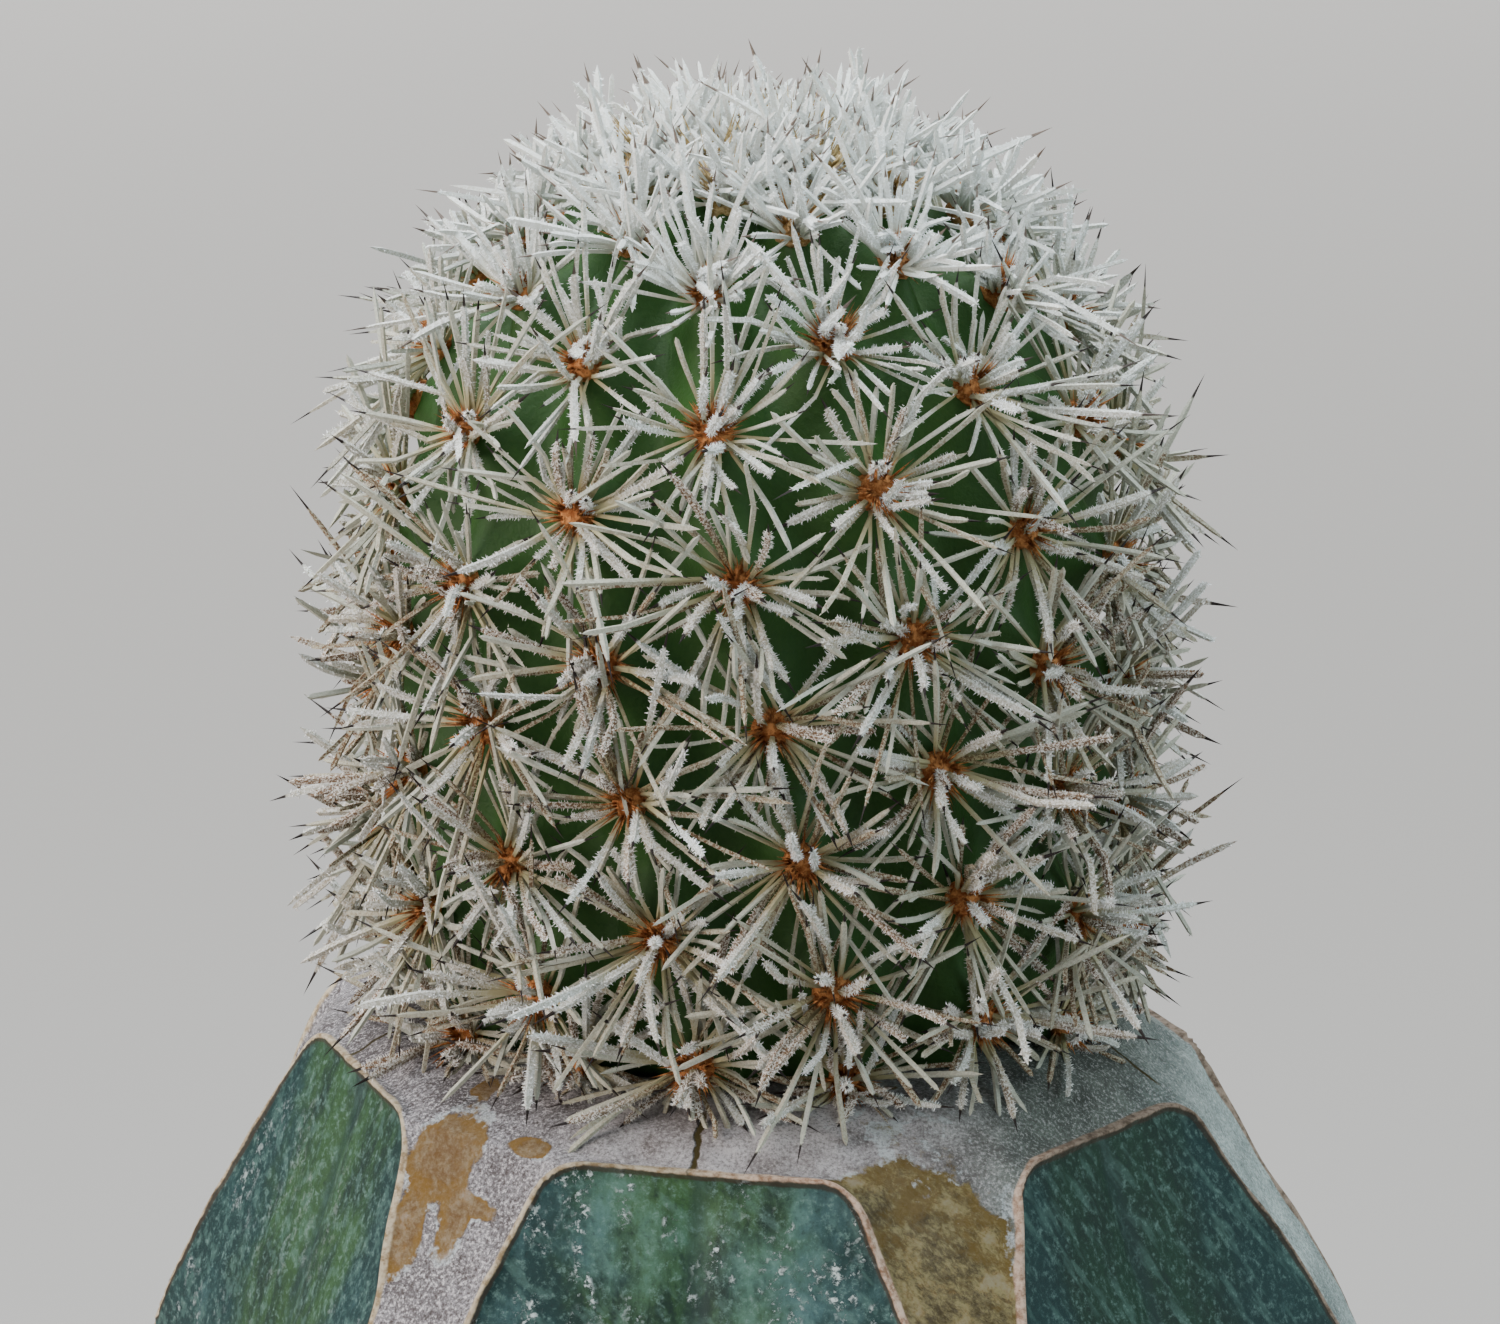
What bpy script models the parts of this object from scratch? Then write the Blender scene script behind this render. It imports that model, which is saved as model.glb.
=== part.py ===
"""A grafted column cactus in a plain terracotta pot.

A short round-topped column, dense with starry spines, grows on a stout six-ribbed
rootstock whose top was cut flat and whose rib ends were trimmed. The rootstock stands
in potting soil in a plain clay pot. The origin is at the centre of the pot's base, +Z is
up, and the front of the plant faces -Y.
"""

import math
import random

import bmesh
import bpy
from mathutils import Matrix, Quaternion, Vector, noise

MM = 0.001
CLEARANCE = 0.3 * MM

# Pot: a turned clay pot with a plain collar
POT_HEIGHT = 100 * MM
POT_TOP_RADIUS = 60 * MM
POT_BASE_RADIUS = 42 * MM
POT_WALL = 5 * MM
POT_FLOOR = 6 * MM
POT_COLLAR_HEIGHT = 18 * MM
POT_COLLAR_STEP = 2.6 * MM
POT_LIP_ROUND = 1.8 * MM
POT_DRAIN_RADIUS = 7 * MM
POT_SEGMENTS = 60

# Soil: it fills the pot to below the lip and mounds a little towards the stem
SOIL_TOP = 88 * MM
SOIL_MOUND = 2.2 * MM
SOIL_RELIEF = 1.3 * MM
SOIL_GRAIN = 5.5 * MM
SOIL_TOP_RINGS = 6
SOIL_FOOT_INSET = 4 * MM
SOIL_WALL_GAP = 0.5 * MM
SOIL_HOLE_GAP = 0.45 * MM

# Rootstock: six ribs, cut flat on top, with each rib's end trimmed to a sloping band
STOCK_TOP = 160 * MM
STOCK_RIBS = 6
STOCK_TURN = math.radians(22.5)
STOCK_CAP_RADIUS = 17.2 * MM
STOCK_LEDGE_RADIUS = 19.2 * MM
STOCK_LEDGE_DROP = 0.7 * MM
STOCK_CUT_SLOPE = 0.045
STOCK_RIM_HEIGHT = 0.45 * MM
STOCK_RIM_WIDTH = 0.6 * MM
STOCK_TRIM_DEPTH = 18 * MM
STOCK_FOOT_DEPTH = 108 * MM
STOCK_FOOT_SHRINK = 0.8
# depth below the cut, shoulder radius, half angle of the band, sag of the panel, rise of the crest
STOCK_STATIONS = (
    (2.8, 22.5, 11.2, 0.0, 0.0),
    (5.5, 24.2, 8.8, 0.1, 0.0),
    (9.0, 26.2, 6.4, 0.3, 0.0),
    (13.0, 28.7, 5.2, 0.8, 0.1),
    (17.5, 30.8, 4.6, 1.4, 0.3),
    (23.0, 31.6, 4.8, 1.8, 0.8),
    (34.0, 31.8, 5.4, 2.0, 1.0),
    (46.0, 31.4, 5.4, 2.1, 1.0),
    (58.0, 30.7, 5.6, 1.9, 1.0),
    (66.0, 30.2, 5.6, 1.8, 0.9),
)
PANEL_SHARES = (0.06, 0.25, 0.5, 0.75, 0.94)
FOOT_SHARES = (0.5, 1)
STOCK_AREOLE_DEPTHS = (31 * MM, 49 * MM)
STOCK_AREOLE_STAGGER = 5 * MM
STOCK_SPINES = 5
STOCK_SPINE_LENGTH = 5.5 * MM
STOCK_SPINE_RADIUS = 0.4 * MM

# Scion: the short spiny column on top
SCION_HEIGHT = 42 * MM
SCION_RADIUS = 17.0 * MM
SCION_BASE_RADIUS = 15.4 * MM
SCION_BULGE_HEIGHT = 7 * MM
SCION_DOME_HEIGHT = 18 * MM
SCION_RIBS = 15
SCION_TURN = math.radians(1.2)
SCION_TWIST = math.radians(0.71) / MM
SCION_TWIST_LEVEL = 20 * MM
SCION_RIB_RISE = 0.7 * MM
SCION_TUBERCLE_RISE = 0.6 * MM
SCION_RIB_FADE_RADIUS = 10 * MM
SCION_COLUMNS_PER_RIB = 2
SCION_ROWS = 16

# Areoles and spines of the scion
AREOLE_SPACING = 6.6 * MM
AREOLE_LOWEST = 1.0 * MM
AREOLE_HIGHEST = 50.5 * MM
AREOLE_STAGGER = 9 / SCION_RIBS
AREOLE_START = 0.712
RADIAL_SPINES = 5
SPINE_LENGTH = 5.6 * MM
CROWN_SPINE_SHARE = 1.05
SPINE_RADIUS = 0.38 * MM
SPINE_ROOT = 1.0 * MM
RADIAL_LIFT = math.radians(30)
RADIAL_LIFT_SPREAD = (math.radians(-9), math.radians(17))
CENTRAL_LIFT = (math.radians(60), math.radians(88))
LOWEST_NEEDLE = 0.9 * MM
SPINE_SEED = 7
SPREAD_JITTER = 0.25
SPINE_LENGTH_SPREAD = (0.85, 1.1)


def clear_scene():
    """Removes every object that the scene starts with."""
    for item in list(bpy.data.objects):
        bpy.data.objects.remove(item)


def finish(name, colour, roughness):
    """A matt finish of one colour for one sub-part."""
    made = bpy.data.materials.new(name)
    made.use_nodes = True
    shader = made.node_tree.nodes["Principled BSDF"]
    shader.inputs["Base Color"].default_value = (*colour, 1)
    shader.inputs["Roughness"].default_value = roughness
    shader.inputs["Metallic"].default_value = 0
    return made


def to_object(name, bm, material, crease=40):
    """Turns a bmesh into a named object, shaded smooth up to the crease angle in degrees."""
    mesh = bpy.data.meshes.new(name)
    bm.normal_update()
    bm.to_mesh(mesh)
    bm.free()
    mesh.shade_smooth()
    mesh.set_sharp_from_angle(angle=math.radians(crease))
    mesh.materials.append(material)
    made = bpy.data.objects.new(name, mesh)
    bpy.context.scene.collection.objects.link(made)
    return made


def around(radius, turn, height):
    """The point at a radius and height, turned from the front (-Y) towards +X."""
    return Vector((radius * math.sin(turn), -radius * math.cos(turn), height))


def blend(low, high, share):
    return low + (high - low) * share


def ease(share):
    """A smooth step from 0 to 1."""
    share = min(max(share, 0), 1)
    return share * share * (3 - 2 * share)


def skin(rings, first, last):
    """A closed skin over rings of points, from a first centre point to a last one."""
    bm = bmesh.new()
    rows = [[bm.verts.new(point) for point in ring] for ring in rings]
    count = len(rows[0])
    for upper, lower in zip(rows, rows[1:]):
        for i in range(count):
            j = (i + 1) % count
            bm.faces.new((upper[i], lower[i], lower[j], upper[j]))
    top, bottom = bm.verts.new(first), bm.verts.new(last)
    for i in range(count):
        j = (i + 1) % count
        bm.faces.new((top, rows[0][i], rows[0][j]))
        bm.faces.new((bottom, rows[-1][j], rows[-1][i]))
    bmesh.ops.recalc_face_normals(bm, faces=bm.faces)
    return bm


def arc(centre_x, centre_z, radius, start, end, steps):
    """Points of an arc in the XZ plane, from a start to an end angle in degrees."""
    angles = [math.radians(blend(start, end, i / steps)) for i in range(steps + 1)]
    return [(centre_x + radius * math.cos(a), centre_z + radius * math.sin(a)) for a in angles]


def pot_outer_radius(height):
    """Radius of the pot's outer wall below the collar."""
    return blend(POT_BASE_RADIUS, POT_TOP_RADIUS - POT_COLLAR_STEP, height / POT_HEIGHT)


def pot_inner_radius(height):
    return pot_outer_radius(height) - POT_WALL


def pot_profile():
    """The pot's wall in section, from the drain hole out, up the outside and down the inside."""
    r = POT_LIP_ROUND
    collar_base = POT_HEIGHT - POT_COLLAR_HEIGHT
    lip_inner = pot_inner_radius(POT_HEIGHT)
    section = [(POT_DRAIN_RADIUS, 0)]
    section += arc(POT_BASE_RADIUS - r, r, r, -90, 0, 3)
    section += [(pot_outer_radius(collar_base), collar_base)]
    section += arc(POT_TOP_RADIUS - 2 * r, collar_base + r, r, -60, 0, 2)
    section += arc(POT_TOP_RADIUS - r, POT_HEIGHT - r, r, 0, 90, 4)
    section += arc(lip_inner + r, POT_HEIGHT - r, r, 90, 180, 4)
    section += [(pot_inner_radius(POT_FLOOR + 2 * r), POT_FLOOR + 2 * r)]
    section += [(pot_inner_radius(POT_FLOOR) - 2 * r, POT_FLOOR)]
    section += [(POT_DRAIN_RADIUS, POT_FLOOR)]
    return section


def make_pot():
    """The clay pot, turned from its section with the drain hole left open."""
    bm = bmesh.new()
    points = [bm.verts.new((x, 0, z)) for x, z in pot_profile()]
    edges = [bm.edges.new((a, b)) for a, b in zip(points, points[1:] + points[:1])]
    bmesh.ops.spin(
        bm,
        geom=points + edges,
        cent=(0, 0, 0),
        axis=(0, 0, 1),
        angle=2 * math.pi,
        steps=POT_SEGMENTS,
        use_merge=True,
    )
    bmesh.ops.recalc_face_normals(bm, faces=bm.faces)
    return to_object("pot", bm, finish("terracotta", (0.55, 0.25, 0.14), 0.85), crease=30)


def stock_station(depth):
    """Shoulder radius, half angle of the band, sag and crest rise at a depth below the cut."""
    depth = depth / MM
    lower = STOCK_STATIONS[0]
    for upper in STOCK_STATIONS:
        if depth <= upper[0]:
            break
        lower = upper
    span = upper[0] - lower[0]
    share = (depth - lower[0]) / span if span else 0
    share = min(max(share, 0), 1)
    radius, half, sag, rise = (blend(a, b, share) for a, b in zip(lower[1:], upper[1:]))
    return radius * MM, math.radians(half), sag * MM, rise * MM


def stock_section(depth, inset=0, ridge=0):
    """One outline of the rootstock, rib by rib: crest, shoulder with its rim, panel, shoulder.

    inset moves the outline in, and ridge raises the rims.
    """
    radius, half, sag, rise = stock_station(depth)
    radius -= inset
    foot = STOCK_RIM_WIDTH / radius
    sector = 2 * math.pi / STOCK_RIBS
    points = []
    for rib in range(STOCK_RIBS):
        crest = STOCK_TURN + rib * sector
        points.append((crest, radius * math.cos(half) + rise))
        points.append((crest + half - foot, radius * math.cos(foot) + rise * foot / half))
        points.append((crest + half, radius + ridge))
        left, right = crest + half, crest + sector - half
        for share in PANEL_SHARES:
            at = blend(around(radius, left, 0), around(radius, right, 0), share)
            flat = at.length - sag * 4 * share * (1 - share)
            points.append((math.atan2(at.x, -at.y) % (2 * math.pi), flat))
        points.append((right, radius + ridge))
        points.append((right + foot, radius * math.cos(foot) + rise * foot / half))
    return points


def cut_tilt(point, depth):
    """How far a point lies below the level cut, because the knife went slightly askew."""
    fade = 1 - ease(depth / STOCK_TRIM_DEPTH)
    return STOCK_CUT_SLOPE * point.x * fade


def stock_ring(depth, **shape):
    """The outline at a depth, as points, with the skewed cut worked in."""
    ring = []
    for turn, radius in stock_section(depth, **shape):
        point = around(radius, turn, STOCK_TOP - depth)
        point.z -= cut_tilt(point, depth)
        ring.append(point)
    return ring


def stock_circle(radius, height):
    """A round outline whose points lie at the same turns as the first ribbed one."""
    return [around(radius, turn, height) for turn, _ in stock_section(0)]


def buried_ring(share, gap=0):
    """The outline of the buried foot: share is 0 at the lowest station and 1 at the foot's end."""
    start = STOCK_STATIONS[-1][0] * MM
    depth = blend(start, STOCK_FOOT_DEPTH, share)
    scale = blend(1, STOCK_FOOT_SHRINK, share)
    return [
        around(radius * scale + gap, turn, STOCK_TOP - depth)
        for turn, radius in stock_section(start)
    ]


def needle_mesh():
    """A three-sided needle of unit length and radius along +Z, with its root at the origin."""
    bm = bmesh.new()
    bmesh.ops.create_cone(bm, cap_ends=True, segments=3, radius1=1, radius2=0, depth=1)
    bmesh.ops.translate(bm, vec=(0, 0, 0.5), verts=bm.verts)
    mesh = bpy.data.meshes.new("needle")
    bm.to_mesh(mesh)
    bm.free()
    return mesh


def plant(group, mesh, root, direction, length, radius, roll):
    """Adds one needle of a length and radius to a group, standing at a root along a direction."""
    turned = direction.to_track_quat("Z", "Y") @ Quaternion((0, 0, 1), roll)
    made = bpy.data.objects.new("needle", mesh)
    made.matrix_world = Matrix.LocRotScale(root, turned, (radius, radius, length))
    group.objects.link(made)


def fuse(body, group):
    """Joins a group of needles to the body that they grow from, and removes the loose ones."""
    union = body.modifiers.new("grown together", "BOOLEAN")
    union.operation = "UNION"
    union.operand_type = "COLLECTION"
    union.collection = group
    union.solver = "MANIFOLD"
    graph = bpy.context.evaluated_depsgraph_get()
    joined = bpy.data.meshes.new_from_object(body.evaluated_get(graph))
    body.modifiers.remove(union)
    body.data = joined
    joined.name = body.name
    for item in list(group.objects):
        bpy.data.objects.remove(item)
    bpy.data.collections.remove(group)


def stock_needles():
    """A few short spines on each areole of the rootstock's rib crests."""
    group = bpy.data.collections.new("stock needles")
    mesh = needle_mesh()
    draw = random.Random(SPINE_SEED)
    for rib in range(STOCK_RIBS):
        turn = STOCK_TURN + rib * 2 * math.pi / STOCK_RIBS
        for depth in STOCK_AREOLE_DEPTHS:
            depth += STOCK_AREOLE_STAGGER * (rib % 2)
            radius, half, _, rise = stock_station(depth)
            crest = radius * math.cos(half) + rise
            root = around(crest - SPINE_ROOT, turn, STOCK_TOP - depth)
            out, up = around(1, turn, 0), Vector((0, 0, 1))
            side = out.cross(up)
            for i in range(STOCK_SPINES):
                jitter = draw.uniform(-SPREAD_JITTER, SPREAD_JITTER)
                spread = 2 * math.pi * (i + jitter) / STOCK_SPINES
                lean = side * math.cos(spread) + up * math.sin(spread)
                direction = (out * math.sin(RADIAL_LIFT) + lean * math.cos(RADIAL_LIFT)).normalized()
                length = STOCK_SPINE_LENGTH * draw.uniform(*SPINE_LENGTH_SPREAD) + SPINE_ROOT
                roll = draw.uniform(0, 2 * math.pi)
                plant(group, mesh, root, direction, length, STOCK_SPINE_RADIUS, roll)
    return group


def make_rootstock():
    """The rootstock: cut cap, sloping ledge, trimmed ribs with curled rims, and its buried foot."""
    first = STOCK_STATIONS[0][0] * MM
    edge_drop = first - STOCK_RIM_HEIGHT
    ledge = stock_circle(STOCK_LEDGE_RADIUS, STOCK_TOP - STOCK_LEDGE_DROP)
    rings = [
        stock_circle(STOCK_CAP_RADIUS, STOCK_TOP),
        [Vector((p.x, p.y, p.z - cut_tilt(p, 0) / 2)) for p in ledge],
        stock_ring(edge_drop, inset=STOCK_RIM_WIDTH),
        stock_ring(first, ridge=STOCK_RIM_HEIGHT / 2),
    ]
    for depth, *_ in STOCK_STATIONS[1:]:
        depth *= MM
        ridge = STOCK_RIM_HEIGHT * (1 - ease(depth / STOCK_TRIM_DEPTH))
        rings.append(stock_ring(depth, ridge=ridge))
    rings += [buried_ring(share) for share in FOOT_SHARES]
    top = Vector((0, 0, STOCK_TOP))
    bottom = Vector((0, 0, STOCK_TOP - STOCK_FOOT_DEPTH))
    bm = skin(rings, top, bottom)
    stock = to_object("rootstock", bm, finish("stock skin", (0.09, 0.17, 0.13), 0.55))
    fuse(stock, stock_needles())
    return stock


def dome_start():
    """Height above the column's base at which its round top begins."""
    return SCION_HEIGHT - SCION_DOME_HEIGHT


def dome_mean_radius():
    """The round top is nearly a half ball, so arcs on it are measured with this radius."""
    return (SCION_RADIUS + SCION_DOME_HEIGHT) / 2


def scion_arc():
    """Length up the column's skin from the base to the crown."""
    return dome_start() + dome_mean_radius() * math.pi / 2


def dome_angle(arc_length):
    """Angle up the round top reached by going up the skin by a length from the base."""
    return min(max((arc_length - dome_start()) / dome_mean_radius(), 0), math.pi / 2)


def height_at(arc_length):
    """Height above the base reached by going up the skin by a length."""
    return min(arc_length, dome_start()) + SCION_DOME_HEIGHT * math.sin(dome_angle(arc_length))


def scion_radius(arc_length):
    """Mean radius of the column, with its drawn-in base and its round top."""
    drawn_in = max(1 - arc_length / SCION_BULGE_HEIGHT, 0)
    low = blend(SCION_RADIUS, SCION_BASE_RADIUS, drawn_in * drawn_in)
    return low * math.cos(dome_angle(arc_length))


def skin_normal(turn, arc_length):
    """Which way the column's skin faces, leaving its ribs out."""
    angle = dome_angle(arc_length)
    across = SCION_DOME_HEIGHT * math.cos(angle)
    return around(across, turn, SCION_RADIUS * math.sin(angle)).normalized()


def rib_turn(rib, arc_length):
    """Where a rib stands round the column, with its slight twist."""
    twist = SCION_TWIST * (SCION_TWIST_LEVEL - height_at(arc_length))
    return SCION_TURN + 2 * math.pi * rib / SCION_RIBS + twist


def first_areole(rib):
    """How far up the skin a rib's lowest areole sits. Ribs are staggered one against the next."""
    return AREOLE_LOWEST + (AREOLE_START + AREOLE_STAGGER * rib) % 1 * AREOLE_SPACING


def areole_arcs(rib):
    """How far up the skin each areole of a rib sits."""
    count = math.ceil((AREOLE_HIGHEST - first_areole(rib)) / AREOLE_SPACING)
    return [first_areole(rib) + i * AREOLE_SPACING for i in range(count)]


def scion_point(rib, across, arc_length):
    """A point of the column's skin. across runs from -0.5 to 0.5 over one rib."""
    crest = math.cos(2 * math.pi * across)
    phase = (arc_length - first_areole(rib)) / AREOLE_SPACING
    swell = (1 + crest) / 2 * (1 + math.cos(2 * math.pi * phase)) / 2
    fade = ease(scion_radius(arc_length) / SCION_RIB_FADE_RADIUS)
    rise = (SCION_RIB_RISE * crest + SCION_TUBERCLE_RISE * (2 * swell - 1)) * fade
    turn = rib_turn(rib + across, arc_length)
    height = STOCK_TOP + CLEARANCE + height_at(arc_length)
    return around(scion_radius(arc_length), turn, height) + skin_normal(turn, arc_length) * rise


def star_directions(draw, out, side):
    """Directions of one areole's needles: a star of radials, then one central."""
    up = side.cross(out)
    start = draw.uniform(0, 2 * math.pi)
    lifts = [RADIAL_LIFT + draw.uniform(*RADIAL_LIFT_SPREAD) for _ in range(RADIAL_SPINES)]
    lifts.append(draw.uniform(*CENTRAL_LIFT))
    directions = []
    for i, lift in enumerate(lifts):
        jitter = draw.uniform(-SPREAD_JITTER, SPREAD_JITTER)
        spread = start + 2 * math.pi * (i + jitter) / RADIAL_SPINES
        lean = side * math.cos(spread) + up * math.sin(spread)
        directions.append((out * math.sin(lift) + lean * math.cos(lift)).normalized())
    return directions


def scion_needles():
    """A star of needles on each areole, a little shorter at the crown and clear of the cap."""
    group = bpy.data.collections.new("scion needles")
    mesh = needle_mesh()
    draw = random.Random(SPINE_SEED)
    for rib in range(SCION_RIBS):
        for arc_length in areole_arcs(rib):
            turn = rib_turn(rib, arc_length)
            out = skin_normal(turn, arc_length)
            side = around(1, turn + math.pi / 2, 0)
            root = scion_point(rib, 0, arc_length) - out * SPINE_ROOT
            size = blend(CROWN_SPINE_SHARE, 1, scion_radius(arc_length) / SCION_RADIUS)
            for direction in star_directions(draw, out, side):
                length = SPINE_LENGTH * size * draw.uniform(*SPINE_LENGTH_SPREAD) + SPINE_ROOT
                roll = draw.uniform(0, 2 * math.pi)
                if (root + direction * length).z > STOCK_TOP + LOWEST_NEEDLE:
                    plant(group, mesh, root, direction, length, SPINE_RADIUS, roll)
    return group


def make_scion():
    """The spiny column: a ribbed, tubercled body with a star of needles on each areole."""
    rings = []
    for row in range(SCION_ROWS):
        arc_length = scion_arc() * row / SCION_ROWS
        ring = []
        for rib in range(SCION_RIBS):
            for column in range(SCION_COLUMNS_PER_RIB):
                ring.append(scion_point(rib, column / SCION_COLUMNS_PER_RIB, arc_length))
        rings.append(ring)
    base = STOCK_TOP + CLEARANCE
    for point in rings[0]:
        point.z = base
    bm = skin(rings, Vector((0, 0, base)), Vector((0, 0, base + SCION_HEIGHT)))
    scion = to_object("scion", bm, finish("scion", (0.45, 0.48, 0.42), 0.7))
    fuse(scion, scion_needles())
    return scion


def soil_height(point):
    """Height of the soil's pebbly top at a place."""
    out = math.hypot(point.x, point.y) / pot_inner_radius(SOIL_TOP)
    grain = noise.noise(Vector((point.x, point.y, 0)) / SOIL_GRAIN)
    return SOIL_TOP + SOIL_MOUND * (1 - out) + SOIL_RELIEF * grain


def soil_top_ring(inner, outer, share):
    """One ring of the soil's surface between the stem's hole and the pot's wall."""
    ring = []
    for low, high in zip(inner, outer):
        point = low.lerp(high, share)
        point.z = soil_height(point)
        ring.append(point)
    return ring


def make_soil():
    """Potting soil: it fills the pot, and the rootstock's foot stands in its plain hole."""
    turns = [turn for turn, _ in stock_section(STOCK_STATIONS[-1][0] * MM)]
    floor = POT_FLOOR + CLEARANCE

    def wall_ring(height, inset=0):
        radius = pot_inner_radius(height) - SOIL_WALL_GAP - inset
        return [around(radius, turn, height) for turn in turns]

    hole_mouth = buried_ring(0, SOIL_HOLE_GAP)
    hole_floor = buried_ring(1, SOIL_HOLE_GAP)
    hole_end = STOCK_TOP - STOCK_FOOT_DEPTH - CLEARANCE
    for point in hole_floor:
        point.z = hole_end
    top_outer = wall_ring(SOIL_TOP)
    rings = [wall_ring(floor, SOIL_FOOT_INSET), wall_ring(floor + SOIL_FOOT_INSET)]
    rings += [soil_top_ring(top_outer, hole_mouth, i / SOIL_TOP_RINGS) for i in range(SOIL_TOP_RINGS + 1)]
    rings += [hole_floor]
    bm = skin(rings, Vector((0, 0, floor)), Vector((0, 0, hole_end)))
    return to_object("soil", bm, finish("potting soil", (0.11, 0.08, 0.06), 0.95), crease=60)


def main():
    clear_scene()
    make_pot()
    make_soil()
    make_rootstock()
    make_scion()


main()
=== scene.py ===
# A grafted column cactus in a clay pot: a short spiny column grown onto a stout ribbed rootstock.
# Metres, +Z up, the front of the plant towards -Y. Turns are measured from the front towards +X.
from math import ceil, cos, exp, hypot, pi, radians, sin, sqrt, tau
from random import Random

import bmesh
import bpy
from mathutils import Matrix, Quaternion, Vector, noise


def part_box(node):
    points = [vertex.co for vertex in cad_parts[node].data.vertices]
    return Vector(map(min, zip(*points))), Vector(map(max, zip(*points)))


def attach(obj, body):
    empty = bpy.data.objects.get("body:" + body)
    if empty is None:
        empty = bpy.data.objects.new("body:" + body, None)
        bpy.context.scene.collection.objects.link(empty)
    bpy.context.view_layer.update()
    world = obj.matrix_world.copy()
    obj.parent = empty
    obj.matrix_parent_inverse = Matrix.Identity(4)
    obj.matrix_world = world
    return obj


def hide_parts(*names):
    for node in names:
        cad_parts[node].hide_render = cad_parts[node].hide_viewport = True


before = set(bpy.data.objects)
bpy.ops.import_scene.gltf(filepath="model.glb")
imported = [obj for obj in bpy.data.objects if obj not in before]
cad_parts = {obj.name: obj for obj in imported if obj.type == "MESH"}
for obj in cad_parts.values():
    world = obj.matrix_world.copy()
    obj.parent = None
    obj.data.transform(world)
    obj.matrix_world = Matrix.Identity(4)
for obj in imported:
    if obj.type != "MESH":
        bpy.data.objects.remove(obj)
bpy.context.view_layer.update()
MM = 0.001


# The pot
# A plain flower pot of red clay, turned on the wheel and fired without a glaze. It stands on a
# flat base ring, has a collar round its mouth, and drains through one hole in its floor.
_, pot_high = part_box("pot")
POT_HEIGHT = pot_high.z
POT_TOP_RADIUS = pot_high.x
POT_BASE_RADIUS = 42 * MM
POT_WALL = 5 * MM
POT_FLOOR = 6 * MM
COLLAR_HEIGHT = 18 * MM
COLLAR_STEP = 2.6 * MM
LIP_ROUND = 1.8 * MM
DRAIN_RADIUS = 7 * MM
POT_STEPS = 132
WALL_ROWS, WALL_FADE_ROWS = 36, 4
FINGER_MARK = 0.14 * MM
FINGER_SPACING = 6.5 * MM
DAMP_TOP, SALT_LEVEL = 90 * MM, 52 * MM
EAST, UP = Vector((1, 0, 0)), Vector((0, 0, 1))


def blend(low, high, share):
    return low + (high - low) * share


def ease(share):
    """A smooth step from 0 to 1."""
    share = min(max(share, 0), 1)
    return share * share * (3 - 2 * share)


def around(radius, turn, height):
    """The point at a radius and height, turned from the front towards +X."""
    return Vector((radius * sin(turn), -radius * cos(turn), height))


def arc(centre_r, centre_z, radius, start, end, steps):
    """A rounded corner in section, between two angles in degrees."""
    angles = [radians(blend(start, end, i / steps)) for i in range(steps + 1)]
    return [(centre_r + radius * cos(a), centre_z + radius * sin(a)) for a in angles]


def pot_outer_radius(height):
    return blend(POT_BASE_RADIUS, POT_TOP_RADIUS - COLLAR_STEP, height / POT_HEIGHT)


def pot_inner_radius(height):
    return pot_outer_radius(height) - POT_WALL


def thrown_wall(low, high, radius_at):
    """A stretch of wall in section, faintly waved by the potter's fingers."""
    wall = []
    for i in range(WALL_ROWS + 1):
        z = blend(low, high, i / WALL_ROWS)
        wave = sin(tau * z / FINGER_SPACING + 2 * sin(z / FINGER_SPACING))
        fade = ease(min(i, WALL_ROWS - i) / WALL_FADE_ROWS)
        wall.append((radius_at(z) - FINGER_MARK * (1 - wave) / 2 * fade, z))
    return wall


def pot_section():
    """The wall in section: out from the drain hole, up the outside and down the inside."""
    r = LIP_ROUND
    collar_base = POT_HEIGHT - COLLAR_HEIGHT
    lip_inner = pot_inner_radius(POT_HEIGHT)
    section = [(DRAIN_RADIUS, 0)]
    section += arc(POT_BASE_RADIUS - r, r, r, -90, 0, 6)
    section += thrown_wall(2 * r, collar_base - r / 2, pot_outer_radius)
    section += arc(POT_TOP_RADIUS - 2 * r, collar_base + r, r, -80, 0, 5)[1:]
    section += arc(POT_TOP_RADIUS - r, POT_HEIGHT - r, r, 0, 90, 7)
    section += arc(lip_inner + r, POT_HEIGHT - r, r, 90, 180, 7)
    section += reversed(thrown_wall(POT_FLOOR + 2 * r, POT_HEIGHT - 2 * r, pot_inner_radius))
    section += [(pot_inner_radius(POT_FLOOR) - 2 * r, POT_FLOOR), (DRAIN_RADIUS, POT_FLOOR)]
    return section


def turned(section, steps, closed=True):
    """A section turned about the upright axis, its last point joined to its first if closed."""
    made = bmesh.new()
    corners = [made.verts.new((r, 0, z)) for r, z in section]
    joined = corners[1:] + corners[:1] if closed else corners[1:]
    sides = [made.edges.new(pair) for pair in zip(corners, joined)]
    about = {"cent": (0, 0, 0), "axis": (0, 0, 1), "angle": tau, "steps": steps}
    bmesh.ops.spin(made, geom=corners + sides, use_merge=True, **about)
    bmesh.ops.recalc_face_normals(made, faces=made.faces)
    return made


def paint(red, green, blue):
    """A colour as the eye reads it, 0 to 255 a channel, in the shader's light values."""
    channels = [channel / 255 for channel in (red, green, blue)]
    light = [c / 12.92 if c < 0.04 else ((c + 0.055) / 1.055) ** 2.4 for c in channels]
    return (*light, 1)


def maths(operation, swapped=False):
    """An operator on amounts that adds one Math node."""
    def worked_out(self, other=0):
        first, second = (other, self) if swapped else (self, other)
        return self.finish.add("Math", {"operation": operation}, {0: first, 1: second})

    return worked_out


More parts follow.
